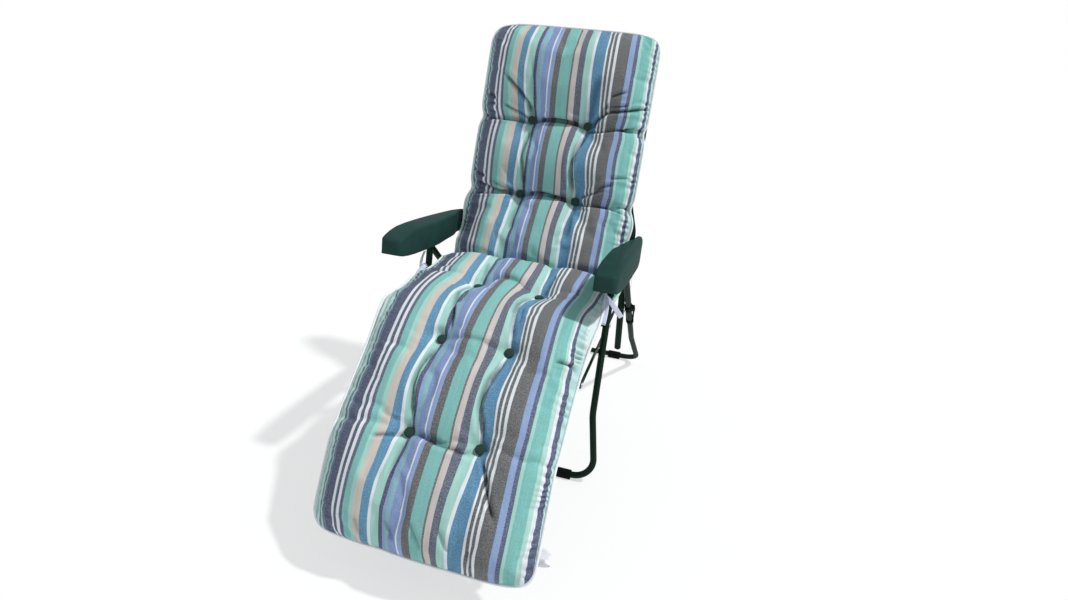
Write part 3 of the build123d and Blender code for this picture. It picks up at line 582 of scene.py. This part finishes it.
def side_fullness(blank):
    """How far the sides swell out, and how far in they lie beside the folding legs."""
    along = blank.along
    on_left = np.where(blank.across < 0, 1, 0)
    crease, leg = blank.line.crease, blank.line.leg
    seat, back_lower = button_rows["seat"], button_rows["back_lower"]
    left = 0.012 * bulge(along - seat - 0.03, 0.060) + 0.006 * bulge(along - crease + 0.035, 0.030)
    right = 0.011 * bulge(along - seat - 0.13, 0.110)
    above_arms = 0.007 * bulge(along - back_lower - 0.052, 0.036)
    at_foot = 0.021 * smooth_step((along - seat - 0.05) / 0.12) * on_left
    beside_leg = smooth_step((along - crease + 0.02) / 0.04) * smooth_step((leg + 0.06 - along) / 0.065)
    return np.where(on_left == 1, left, right) + above_arms + at_foot - 0.0075 * beside_leg


# How deep (share of the height) and wide (metres) the valley along each row of buttons is,
# and how deep the buttons themselves are pulled
row_dips = {
    "back_upper": (0.30, 0.012, 0.41),
    "back_lower": (0.30, 0.012, 0.41),
    "seat": (0.03, 0.020, 0.33),
    "foot_upper": (0.03, 0.018, 0.41),
    "foot_lower": (0.22, 0.016, 0.41),
}

# Folds pressed into the top: depth, softness to the left and right of the line (mm),
# and the line's points on the flat cloth: x from the middle, length from the head end (mm)
folds = [
    (9, 4, 7, [(-90, 296), (-50, 290), (0, 287), (45, 290), (92, 296)]),
    (10, 4, 7, [(-246, 303), (-162, 301), (-78, 296)]),
    (8, 4, 8, [(-178, 165), (-150, 193), (-122, 219), (-98, 250), (-80, 292)]),
    (6, 4, 6, [(-172, 250), (-146, 265), (-112, 280), (-80, 294)]),
    (4, 4, 6, [(-240, 218), (-212, 231), (-188, 245)]),
    (4, 4, 6, [(-240, 250), (-204, 253), (-180, 259)]),
    (4, 4, 6, [(-242, 274), (-216, 276), (-188, 281)]),
    (8, 5, 4, [(80, 300), (112, 304), (154, 298), (190, 289), (232, 278)]),
    (9, 6, 4, [(98, 282), (118, 262), (138, 246), (174, 239), (204, 231), (246, 220)]),
    (5, 5, 4, [(120, 244), (140, 234), (164, 229), (196, 222)]),
    (5, 5, 4, [(132, 208), (150, 200), (178, 187)]),
    (6, 5, 8, [(140, 214), (118, 250), (104, 280), (90, 300)]),
    (9, 4, 7, [(-84, 512), (-50, 505), (-14, 501), (20, 505), (52, 508), (84, 512)]),
    (9, 4, 7, [(-246, 528), (-170, 521), (-130, 514), (-80, 510)]),
    (7, 4, 7, [(-246, 478), (-190, 497), (-144, 506), (-96, 508)]),
    (5, 4, 6, [(-176, 478), (-138, 494), (-108, 503), (-84, 512)]),
    (5, 4, 6, [(-244, 446), (-214, 462), (-186, 470)]),
    (8, 4, 6, [(82, 512), (134, 516), (170, 512), (204, 520), (246, 530)]),
    (4, 4, 5, [(168, 432), (198, 425), (228, 420)]),
    (5, 4, 5, [(138, 468), (160, 455), (184, 444)]),
    (5, 4, 6, [(94, 500), (118, 486), (138, 477), (168, 460)]),
    (7, 4, 10, [(-76, 300), (-84, 350), (-90, 398), (-82, 441), (-76, 505)]),
    (8, 9, 4, [(92, 300), (78, 340), (64, 379), (64, 422), (72, 465), (84, 505)]),
    (4, 12, 12, [(-94, 120), (-84, 191), (-80, 290)]),
    (5, 14, 16, [(100, 150), (90, 217), (84, 290)]),
    (4, 10, 12, [(-78, 516), (-84, 580), (-80, 640)]),
    (4, 12, 10, [(88, 516), (80, 580), (82, 640)]),
    (6, 8, 4, [(-80, 906), (-93, 940), (-97, 990), (-84, 1050), (-70, 1100), (-66, 1150)]),
    (6, 9, 5, [(84, 910), (68, 959), (64, 1009), (70, 1061), (80, 1109), (86, 1150)]),
    (5, 10, 14, [(-78, 890), (-46, 875), (-10, 873), (26, 883), (64, 902)]),
    (5, 8, 8, [(-80, 895), (-84, 850), (-92, 800)]),
    (5, 7, 6, [(86, 895), (95, 856), (104, 810)]),
    (3, 4, 5, [(74, 975), (80, 1040), (84, 1100)]),
    (6, 4, 6, [(186, 1163), (222, 1160), (246, 1172)]),
    (3, 7, 8, [(-72, 1160), (-30, 1152), (30, 1152), (78, 1160)]),
    (7, 9, 4, [(-72, 1165), (-92, 1210), (-98, 1270), (-90, 1310), (-78, 1370)]),
    (8, 9, 4, [(86, 1165), (72, 1220), (64, 1265), (66, 1300), (76, 1330), (88, 1380)]),
    (6, 8, 6, [(-78, 1384), (-44, 1383), (-12, 1389), (20, 1393), (50, 1395), (86, 1388)]),
    (7, 4, 7, [(88, 1392), (100, 1415), (110, 1438), (122, 1469), (134, 1495), (152, 1522)]),
    (5, 5, 7, [(-160, 1414), (-130, 1401), (-86, 1384)]),
    (3, 6, 6, [(-156, 1348), (-134, 1356), (-108, 1364)]),
    (4, 8, 10, [(-82, 1390), (-88, 1440), (-84, 1500)]),
    (3, 5, 6, [(-20, 1560), (-6, 1590), (8, 1625)]),
    (3, 5, 6, [(-84, 1580), (-66, 1606), (-54, 1625)]),
    (3, 5, 6, [(40, 1556), (56, 1585), (66, 1612)]),
    (3, 5, 6, [(-150, 1590), (-140, 1615), (-132, 1635)]),
    (3, 5, 6, [(104, 1585), (112, 1612), (116, 1635)]),
]


def along_fold(x, along, points):
    """For each point: distance from the line, which side of it, and how far along it (0 to 1)."""
    points = np.array(points) / 1000
    runs = np.linalg.norm(np.diff(points, axis=0), axis=1)
    before = np.concatenate([[0], np.cumsum(runs)]) / runs.sum()
    best = np.full(len(x), 1e9)
    side = np.zeros(len(x))
    place = np.zeros(len(x))
    for k, run in enumerate(runs):
        (ax, ay), (bx, by) = points[k], points[k + 1]
        ux, uy = (bx - ax) / run, (by - ay) / run
        t = np.clip((x - ax) * ux + (along - ay) * uy, 0, run)
        gap = np.hypot(x - ax - ux * t, along - ay - uy * t)
        nearer = gap < best
        best = np.where(nearer, gap, best)
        side = np.where(nearer, (x - ax) * uy - (along - ay) * ux, side)
        place = np.where(nearer, before[k] + t / run * (before[k + 1] - before[k]), place)
    return best, side, place


def rounded_line(points):
    """The same line with its corners eased by a Catmull and Rom curve."""
    points = np.array(points, float)
    padded = np.vstack([2 * points[0] - points[1], points, 2 * points[-1] - points[-2]])
    eased = []
    for a, b, c, d in zip(padded, padded[1:], padded[2:], padded[3:]):
        for t in (0, 0.25, 0.5, 0.75):
            square, cube = 2 * a - 5 * b + 4 * c - d, 3 * b - a - 3 * c + d
            eased.append(0.5 * (2 * b + (c - a) * t + square * t**2 + cube * t**3))
    return np.vstack([eased, points[-1:]])


def press_folds(pad):
    """Pulls the cloth in along the folds, with a soft lip beside each, and notes painted shade for the
    colour, full at 13 mm deep.
    """
    depth_scale, softness_scale = 0.0016, 0.0008
    deepest, darkest = 0.022, 0.013
    x, along, under = cloth_places(pad.data)
    depth = np.zeros(len(x))
    for deep, left, right, points in folds:
        gap, side, place = along_fold(x, along, rounded_line(points))
        soft = np.where(side < 0, left, right) * softness_scale
        faded = smooth_step(place / 0.22) * smooth_step((1 - place) / 0.22)
        groove = (1 + (gap / soft) ** 2) ** -1.5
        lip = 0.22 * bulge(gap - 2.6 * soft, 1.3 * soft)
        depth = depth + deep * depth_scale * faded * (groove - lip)
    move_along_normals(pad.data, -np.minimum(depth, deepest) * (under < 0.5))
    # Painted shade for the cloth's colour, stronger the deeper the fold.
    note(pad.data, "fold_depth", "FLOAT", "value", np.clip(depth / darkest, 0, 1))


def gather_edges(pad, line):
    """Small uneven gathers where the cloth is sewn into the piping, all round the pad, with painted
    shade added in their hollows.
    """
    gather_length, gather_height, best_seen = 0.0195, 0.0032, 0.009
    x, along, _ = cloth_places(pad.data)
    middle = line.length / 2
    reach_x = np.minimum(np.abs(x), half_width) - (half_width - corner_radius)
    reach_y = np.abs(along - middle) - (middle - corner_radius)
    outside = np.hypot(np.maximum(reach_x, 0), np.maximum(reach_y, 0))
    inward = corner_radius - outside - np.minimum(np.maximum(reach_x, reach_y), 0)
    turn = np.arctan2(np.maximum(reach_x, 0), np.maximum(reach_y, 1e-6))
    straight = np.minimum(np.abs(along - middle), middle - corner_radius)
    round_edge = np.minimum(np.abs(x), half_width - corner_radius) + corner_radius * turn
    round_edge = round_edge - np.sign(along - middle) * straight
    wander = 0.5 * np.sin(round_edge * 23) + 0.4 * np.sin(round_edge * 61 + 1.7)
    phase = 2 * math.pi * (round_edge / gather_length + wander) + 2.4 * np.tanh(x / 0.06)
    uneven = 0.55 + 0.3 * np.sin(round_edge * 37 + 0.6) + 0.15 * np.sin(round_edge * 90 + 2)
    near_rows = 1.0
    for mark in button_rows.values():
        near_rows = near_rows + 0.7 * bulge(along - mark, 0.03)
    at_ends = smooth_step((np.abs(along - middle) - middle + 0.10) / 0.08)
    share = np.maximum(inward, 0) / best_seen
    calm = smooth_step((along - button_rows["seat"] - 0.05) / 0.12) * (x < 0)
    strength = share * np.exp(1 - share) * (1 - 0.55 * at_ends) * (1 - 0.6 * calm)
    gathers = np.sin(phase) * uneven * near_rows * strength
    move_along_normals(pad.data, gather_height * gathers)
    # Painted shade: the hollows of the gathers darken the cloth's colour too.
    shade = pad.data.attributes["fold_depth"].data
    gather_painted_shade = np.empty(len(x), np.float32)
    shade.foreach_get("value", gather_painted_shade)
    gather_painted_shade = np.clip(gather_painted_shade + 0.75 * np.maximum(-gathers, 0) ** 1.5, 0, 1)
    shade.foreach_set("value", gather_painted_shade.astype(np.float32))


def cloth_places(mesh):
    """Each point's x from the middle and length from the head end, on the flat cloth, and its side."""
    values = np.empty(len(mesh.vertices) * 3, np.float32)
    mesh.attributes["cloth_layout"].data.foreach_get("vector", values)
    share, along, under = values.reshape(-1, 3).astype(float).T
    return (share - 0.5) * 2 * half_width, along, under


def move_along_normals(mesh, distance):
    normals = np.empty(len(mesh.vertices) * 3)
    mesh.vertices.foreach_get("normal", normals)
    moved = points_of(mesh) + normals.reshape(-1, 3) * distance[:, None]
    mesh.vertices.foreach_set("co", moved.ravel())
    mesh.update()


def select_only(piece):
    bpy.ops.object.select_all(action="DESELECT")
    piece.select_set(True)
    bpy.context.view_layer.objects.active = piece


def turn_faces_outward(piece):
    select_only(piece)
    mode("EDIT")
    bpy.ops.mesh.select_all(action="SELECT")
    bpy.ops.mesh.normals_make_consistent(inside=False)
    mode("OBJECT")


def apply_modifier(piece, kind, **settings):
    modifier = piece.modifiers.new(kind.lower(), kind)
    for key, value in settings.items():
        setattr(modifier, key, value)
    bpy.ops.object.modifier_apply(modifier=modifier.name)


def piece_from(name, points, faces):
    """A piece from its points and faces, smooth, selected and active."""
    mesh = bpy.data.meshes.new(name)
    mesh.from_pydata(points.tolist(), [], faces)
    piece = bpy.data.objects.new(name, mesh)
    scene.collection.objects.link(piece)
    select_only(piece)
    bpy.ops.object.shade_smooth()
    return piece


def make_cushion(cloth):
    line = PadLine(pad_line)
    line.crease = station_of(line, on_seat(0.083, 0.082))
    line.leg = station_of(line, on_seat(-0.045, 0.085))
    line.knee = station_of(line, on_foot(0.0, 0.08))
    button_rows["back_upper"] = station_of(line, on_back(0.445, 0.078))
    button_rows["back_lower"] = station_of(line, on_back(0.229, 0.078))
    button_rows["seat"] = station_of(line, on_seat(-0.0912, 0.080))
    button_rows["foot_upper"] = station_of(line, on_foot(0.036, 0.080))
    button_rows["foot_lower"] = station_of(line, on_foot(0.262, 0.080))
    blank = Blank(line)
    pad = blank.pad
    blank.shape()
    blank.sew_layout()
    turn_faces_outward(pad)
    blank.fill_out()
    seam = seam_line(blank)
    apply_modifier(pad, "SUBSURF", levels=1, render_levels=1)
    press_folds(pad)
    gather_edges(pad, line)
    bpy.ops.object.shade_smooth()
    pad.data.materials.append(cloth)
    return pad, seam


# Piping round the seam

def seam_line(blank):
    """Places round the pad where its top meets its side, in order."""
    points = points_of(blank.pad.data)
    top = blank.upper
    side = top & (np.abs(blank.across) > 0.999)
    head_end = top & (blank.along < 1e-6)
    foot_end = top & (blank.along > blank.line.length - 1e-6)
    right = points[side & (blank.across > 0)][np.argsort(blank.along[side & (blank.across > 0)])]
    left = points[side & (blank.across < 0)][np.argsort(-blank.along[side & (blank.across < 0)])]
    foot = points[foot_end][np.argsort(-blank.across[foot_end])]
    head_points = points[head_end][np.argsort(blank.across[head_end])]
    ring = np.vstack([right, foot[1:-1], left, head_points[1:-1]])
    return ring


def make_piping(seam, radius, cloth):
    """A round cord sewn into the seam, standing a little proud of it."""
    proud, sides = 0.0015, 8
    eased = seam.copy()
    for _ in range(3):
        eased = (np.roll(eased, 1, axis=0) + 2 * eased + np.roll(eased, -1, axis=0)) / 4
    ahead = np.roll(eased, -1, axis=0) - np.roll(eased, 1, axis=0)
    ahead = ahead / np.linalg.norm(ahead, axis=1, keepdims=True)
    middle = eased.mean(axis=0)
    outward = eased - middle
    outward[:, 1:] *= 0.2
    outward = outward - ahead * np.sum(outward * ahead, axis=1, keepdims=True)
    outward = outward / np.linalg.norm(outward, axis=1, keepdims=True)
    third = np.cross(ahead, outward)
    eased = eased + outward * proud
    rings = []
    for k in range(sides):
        a = 2 * math.pi * k / sides
        rings.append(eased + radius * (math.cos(a) * outward + math.sin(a) * third))
    points = np.stack(rings, axis=1).reshape(-1, 3)
    count = len(eased)
    faces = []
    for i in range(count):
        here, there = i * sides, (i + 1) % count * sides
        for k in range(sides):
            other = (k + 1) % sides
            faces.append((here + k, here + other, there + other, there + k))
    piping = piece_from("piping", points, faces)
    turn_faces_outward(piping)
    piping.data.materials.append(cloth)
    return piping


def cut_in_two(whole, names, y):
    """The same piece in two that meet on an upright plane inside the seat."""
    halves = []
    for name, keep_rear in zip(names, (True, False)):
        piece = whole.copy()
        piece.data = whole.data.copy()
        piece.name = name
        scene.collection.objects.link(piece)
        select_only(piece)
        mode("EDIT")
        bpy.ops.mesh.select_all(action="SELECT")
        bpy.ops.mesh.bisect(
            plane_co=(0, y, 0.5), plane_no=(0, 1, 0), use_fill=True,
            clear_inner=keep_rear, clear_outer=not keep_rear,
        )
        mode("OBJECT")
        bpy.ops.object.shade_smooth_by_angle(angle=math.radians(50))
        halves.append(piece)
    bpy.data.objects.remove(whole)
    return halves


# Buttons

def make_buttons(name, places, facing, cloth):
    """Cloth-covered domes, tucked in under their rims, each set on its place and turned to face out."""
    bpy.ops.mesh.primitive_cylinder_add(vertices=40, radius=0.0125, depth=0.0080)
    button = bpy.context.object
    button.name = name
    mode("EDIT")
    bpy.ops.mesh.select_mode(type="FACE")
    select_faces(button, lambda face: face.normal.z > 0.9)
    bpy.ops.mesh.inset(thickness=0.0016)
    bpy.ops.transform.translate(value=(0, 0, 0.0010))
    for thickness, rise in ((0.0026, 0.0010), (0.0030, 0.0005), (0.0024, 0.0002)):
        bpy.ops.mesh.inset(thickness=thickness)
        bpy.ops.transform.translate(value=(0, 0, rise))
    select_faces(button, lambda face: face.normal.z < -0.9)
    bpy.ops.transform.resize(value=(0.82, 0.82, 1))
    mode("OBJECT")
    apply_modifier(button, "SUBSURF", levels=1, render_levels=1)
    bpy.ops.object.shade_smooth()
    button.data.materials.append(cloth)
    turned = Matrix.Rotation(math.atan2(-facing.y, facing.z), 4, "X")
    copies = []
    for k, place in enumerate(places):
        copy = button.copy()
        copy.data = button.data.copy()
        scene.collection.objects.link(copy)
        spin = Matrix.Rotation(0.7 * k, 4, "Z")
        copy.data.transform(Matrix.Translation(place) @ turned @ spin)
        copies.append(copy)
    bpy.data.objects.remove(button)
    select_only(copies[0])
    for copy in copies[1:]:
        copy.select_set(True)
    bpy.ops.object.join()
    copies[0].name = name
    return copies[0]


def select_faces(piece, wanted):
    """In edit mode: selects the faces that pass, and no others."""
    bpy.ops.mesh.select_all(action="DESELECT")
    mode("OBJECT")
    for face in piece.data.polygons:
        face.select = wanted(face)
    mode("EDIT")


# Arm rests

# Along the arm rest from its nose to its tail, in mm: distance behind the pivot (minus is ahead),
# inner and outer side, underside and top
arm_stations = [
    (-483, 238, 293, -21, 16.5), (-461, 238, 294.5, -25, 23.5), (-434, 238, 296, -28, 30),
    (-400, 238, 297.5, -30, 34.6), (-350, 238, 299.2, -31, 36), (-305, 238, 300, -31, 36),
    (-250, 238, 300, -31, 35.8), (-213, 243, 300, -31, 35.2), (-170, 248.5, 300, -31.5, 34.4),
    (-126, 253, 299.4, -32, 33.6), (-90, 258, 297.5, -32, 33.2), (-52, 268.2, 295, -32, 33),
    (-21, 268.2, 291, -31, 32), (8, 268.2, 287, -28, 30.5), (34, 268.4, 283, -16, 27),
]


def select_edges(piece, wanted):
    """In edit mode: selects the edges whose two ends pass, and no others."""
    bpy.ops.mesh.select_mode(type="EDGE")
    bpy.ops.mesh.select_all(action="DESELECT")
    mode("OBJECT")
    spots = piece.data.vertices
    for edge in piece.data.edges:
        edge.select = wanted(*(spots[k].co for k in edge.vertices))
    mode("EDIT")


# The arm rest's pivot, and its own axes: toward its tail and up from its top
arm_pivot = Vector((0, 0.2554, 0.577))
arm_tailward, arm_up = Vector((0, 0.990, -0.139)), Vector((0, 0.139, 0.990))


def make_arm_rest(name, side, plastic):
    """A hollow moulding: an end face drawn through the stations, opened below and rounded."""
    nose, inner, outer, low, top = (value / 1000 for value in arm_stations[0])
    bpy.ops.mesh.primitive_plane_add(size=1, rotation=(math.pi / 2, 0, 0))
    arm = bpy.context.object
    arm.name = name
    bpy.ops.object.transform_apply(location=True, rotation=True, scale=True)
    mode("EDIT")
    bpy.ops.mesh.select_all(action="SELECT")
    bpy.ops.transform.resize(value=(outer - inner, 1, top - low))
    spot = Vector(((inner + outer) / 2, nose, (low + top) / 2))
    size = Vector((outer - inner, 0, top - low))
    bpy.ops.transform.translate(value=spot)
    for station in arm_stations[1:]:
        along, inner, outer, low, top = (value / 1000 for value in station)
        ahead = Vector(((inner + outer) / 2, along, (low + top) / 2))
        bpy.ops.mesh.extrude_region_move(TRANSFORM_OT_translate={"value": ahead - spot})
        grown = ((outer - inner) / size.x, 1, (top - low) / size.z)
        bpy.ops.transform.resize(value=grown, center_override=ahead)
        spot, size = ahead, Vector((outer - inner, 0, top - low))
    bpy.ops.mesh.select_all(action="SELECT")
    bpy.ops.mesh.normals_make_consistent(inside=False)
    bpy.ops.mesh.select_mode(type="FACE")
    select_faces(arm, lambda face: face.normal.z < -0.7)
    bpy.ops.mesh.delete(type="FACE")
    at_nose = nose + 0.001
    select_edges(arm, lambda a, b: max(a.y, b.y) < at_nose and abs(a.x - b.x) < 0.001)
    bpy.ops.mesh.bevel(offset=0.013, segments=6, affect="EDGES")
    bpy.ops.mesh.select_all(action="DESELECT")
    bpy.ops.mesh.edges_select_sharp(sharpness=math.radians(38))
    bpy.ops.mesh.bevel(offset=0.0065, segments=4, affect="EDGES")
    bpy.ops.mesh.select_all(action="SELECT")
    bpy.ops.mesh.remove_doubles(threshold=0.0001)
    bpy.ops.mesh.normals_make_consistent(inside=False)
    mode("OBJECT")
    axes = Matrix((Vector((1, 0, 0)), arm_tailward, arm_up)).transposed().to_4x4()
    mirror = Matrix.Diagonal((side, 1, 1, 1))
    arm.data.transform(mirror @ Matrix.Translation(arm_pivot) @ axes)
    turn_faces_outward(arm)
    apply_modifier(arm, "SOLIDIFY", thickness=0.0026, offset=-1)
    apply_modifier(arm, "BEVEL", width=0.0006, segments=2, angle_limit=math.radians(60))
    bpy.ops.object.shade_smooth_by_angle(angle=math.radians(35))
    arm.data.materials.append(plastic)
    return arm


# Ribbons and tab

def make_ribbon(name, path, widths, width, cloth):
    """A flat ribbon along a line; widths gives its crosswise direction at each point of the line."""
    centre = rounded_line(path)
    across = rounded_line(widths)
    ahead = np.gradient(centre, axis=0)
    ahead = ahead / np.linalg.norm(ahead, axis=1, keepdims=True)
    across = across - ahead * np.sum(across * ahead, axis=1, keepdims=True)
    across = across / np.linalg.norm(across, axis=1, keepdims=True)
    face = np.cross(ahead, across)
    steps = np.linspace(-0.5, 0.5, 5)
    cup = 0.04 * width
    points = np.concatenate([
        centre + across * (width * s) + face * (cup * (1 - 4 * s * s)) for s in steps
    ])
    count = len(centre)
    faces = [
        (j * count + i, j * count + i + 1, (j + 1) * count + i + 1, (j + 1) * count + i)
        for j in range(len(steps) - 1) for i in range(count - 1)
    ]
    ribbon = piece_from(name, points, faces)
    apply_modifier(ribbon, "SOLIDIFY", thickness=0.0005, offset=0)
    ribbon.data.materials.append(cloth)
    return ribbon


def on_side(points, side):
    """Points of the right side as they are, or mirrored to the left side."""
    return [(side * x, y, z) for x, y, z in points]


# The back's ribbon: up to its knot on the tube, once round the tube and down again
tube = on_back(0.075, 0) + Vector((0.256, 0, 0))
tube_reach = 0.0116
knot = tube + Vector((0.0155, 0, 0))
round_tube = [
    tube + Vector((math.cos(a), 0, 0)) * tube_reach + back_face * (math.sin(a) * tube_reach)
    for a in (0.5, 1.3, 2.2, 3.14, 4.1, 5.0, 5.8)
]
first_end = [(0.001, -0.021, -0.060), (0.002, -0.016, -0.034), (0.001, -0.006, -0.010)]
second_end = [(0.001, 0.006, -0.010), (0.003, 0.020, -0.046), (0.001, 0.026, -0.092)]
back_tie = [knot + Vector(step) for step in first_end]
back_tie += round_tube + [knot + Vector(step) for step in second_end]
upright, leaning = (0, 1, 0.3), (0, 0.8, 0.6)
back_tie_widths = [upright, upright, leaning] + [tuple(head)] * 7 + [leaning, upright, upright]

# The seat's ribbons: name, width, crosswise direction, and line from the seam outward
seat_ties = [
    ("seat_ribbon", 0.014, (0.72, 0.05, 0.69), [
        (0.246, -0.060, 0.542), (0.257, -0.057, 0.533), (0.267, -0.050, 0.519), (0.276, -0.014, 0.486),
        (0.284, 0.026, 0.453)]),
    ("seat_bow", 0.012, (0.75, 0.1, -0.6), [
        (0.258, -0.054, 0.524), (0.268, -0.048, 0.532), (0.274, -0.028, 0.546),
        (0.278, -0.004, 0.556)]),
    ("seat_loop", 0.011, (0.70, 0.3, 0.5), [
        (0.248, -0.062, 0.541), (0.2565, -0.082, 0.530), (0.2590, -0.102, 0.512),
        (0.2580, -0.116, 0.490)]),
]


# Scene

def light_up():
    """White to the camera and in reflections, a soft pale sky to light by, and one soft sun."""
    scene.world = bpy.data.worlds.new("daylight")
    sky = Tree(scene.world)
    pale = sky.nodes["Background"]
    pale.inputs[0].default_value = (0.93, 0.97, 1, 1)
    pale.inputs[1].default_value = 0.44
    to_camera, _, _, in_gloss, _, _, through, *_ = sky.node("ShaderNodeLightPath")
    share = through.maths("MAXIMUM", to_camera.maths("MAXIMUM", to_camera, in_gloss), through)
    white = sky.node("ShaderNodeBackground", None, (1, 1, 1, 1))[0]
    lit = Wire(sky, pale.outputs[0])
    sky.show(sky.node("ShaderNodeMixShader", None, share, lit, white)[0], "World Output")
    add_sun("sunlight", (0.84, 0.15, 1.9), (0, 0, 0.5), power=2.5, width=3)


def lay_floor():
    bpy.ops.mesh.primitive_plane_add(size=40, location=(0, 0, 0))
    floor = bpy.context.object
    floor.name = "floor"
    pale = Finish("pale_floor")
    clouds = pale.grain(pale.place(), 0.4)
    pale.surface(Base_Color=pale.blend_colours(clouds, tone("f6f6f6"), tone("fafafa")), Roughness=0.9)
    to_camera, _, _, in_gloss, _, _, through, *_ = pale.node("ShaderNodeLightPath")
    share = (to_camera + in_gloss + through) * 0.62
    glow = pale.node("ShaderNodeEmission", None, Color=(1, 1, 1, 1), Strength=1.0)[0]
    lit = Wire(pale, pale.shader.outputs[0])
    pale.show(pale.node("ShaderNodeMixShader", None, share, lit, glow)[0], "Material Output")
    floor.data.materials.append(pale.material)


aim_camera()
light_up()
lay_floor()

tube_paint = painted_tube()
bright_steel = steel("zinc_plate", "c9ccce", "9fa3a6", 0.28)
dark_steel = steel("rack_steel", "8b8f92", "5c6063", 0.34)
arm_plastic = moulded_plastic("green_moulding", "213a37", "2c4a46", 0.30, 0.00010)
black_plastic = moulded_plastic("black_moulding", "0d0f10", "1b1e1f", 0.42, 0.00010)
sling_mesh = woven_cloth("green_sling", "16362b", "2b5a48")
button_cloth = woven_cloth("green_button_cloth", "0a231d", "14392f")
violet_ribbon = woven_cloth("violet_ribbon", "c3c9ea", "eef0fa")
mint_ribbon = woven_cloth("mint_ribbon", "a3dccb", "d8f3ea")
tab_cloth = woven_cloth("white_tab_cloth", "dfe4ea", "fbfcfd")
piping_cloth = woven_cloth("white_piping", "dfe6ea", "fafbfc")

finishes = [
    (tube_paint, [
        "back_frame", "back_cross_tube", "footrest_frame", "front_leg_frame", "rear_leg_frame",
        "seat_side_rails", "seat_cross_tubes", "sync_link_right", "sync_link_left",
        "footrest_knee_plates"]),
    (bright_steel, [
        "back_hinge_pins", "knee_hinge_pins", "leg_pivot_pins", "back_link_pins",
        "arm_pivot_pins", "footrest_rivets", "footrest_link_pins", "apex_pins"]),
    (dark_steel, ["arm_rack_right", "arm_rack_left"]),
    (black_plastic, [
        "pivot_spacers", "back_lever_caps", "front_leg_feet", "rear_leg_feet", "rear_leg_clips"]),
    (sling_mesh, ["seat_sling", "back_sling", "footrest_sling"]),
]
for finish, names in finishes:
    for name in names:
        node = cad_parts[name]
        for slot in node.material_slots:
            slot.material = finish

cushion, seam = make_cushion(striped_cloth())
piping = make_piping(seam, 0.0031, piping_cloth)
back_half, foot_half = cut_in_two(cushion, ("cushion_back_half", "cushion_foot_half"), -0.02)
back_piping, foot_piping = cut_in_two(piping, ("piping_back_half", "piping_foot_half"), -0.02)
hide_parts("back_cushion", "seat_cushion")
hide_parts("cushion_knee_fold", "footrest_cushion")
for piece in (back_half, back_piping):
    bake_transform(piece)
for piece in (foot_half, foot_piping):
    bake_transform(piece)

button_sets = [
    ("back_buttons", "back", back_face, [on_back(0.445, 0.0555), on_back(0.229, 0.0555)]),
    ("seat_buttons", "seat", Vector((0, 0, 1)), [on_seat(-0.0912, 0.0630)]),
    ("footrest_buttons", "footrest", foot_face, [on_foot(0.036, 0.0580), on_foot(0.262, 0.0560)]),
]
for node_name, body, facing, places in button_sets:
    spots = [place + Vector((side * tuft_x, 0, 0)) for place in places for side in (-1, 1)]
    buttons = make_buttons(node_name.replace("buttons", "covered_buttons"), spots, facing, button_cloth)
    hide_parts(node_name)
    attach(buttons, body)

for side, label in ((1, "right"), (-1, "left")):
    arm = make_arm_rest(f"arm_moulding_{label}", side, arm_plastic)
    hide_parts(f"arm_rest_{label}")
    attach(arm, f"arm_{label}")
    path, widths = on_side(back_tie, side), on_side(back_tie_widths, side)
    ribbon = make_ribbon(f"back_ribbon_{label}", path, widths, 0.012, violet_ribbon)
    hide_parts("cushion_ties")
    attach(ribbon, "back")
    for tie_name, wide, flat_on, path in seat_ties:
        cloth = mint_ribbon if tie_name == "seat_bow" else violet_ribbon
        directions = on_side([flat_on] * len(path), side)
        ribbon = make_ribbon(f"{tie_name}_{label}", on_side(path, side), directions, wide, cloth)
        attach(ribbon, "seat")
        run = sum(math.dist(a, b) for a, b in zip(path, path[1:]))

low, high = (Vector(corner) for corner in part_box("cushion_tab"))
middle = (low + high) / 2
tab_fold = [
    (-0.004, 0, 0.006), (0.008, 0, 0.007), (0.018, 0, 0.003),
    (0.0185, 0, -0.002), (0.008, 0, -0.007), (-0.004, 0, -0.008),
]
tab_path = [tuple(middle + Vector(step)) for step in tab_fold]
tab = make_ribbon("blank_tab", tab_path, [tuple(toe_down)] * len(tab_path), 0.030, tab_cloth)
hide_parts("cushion_tab")
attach(tab, "footrest")
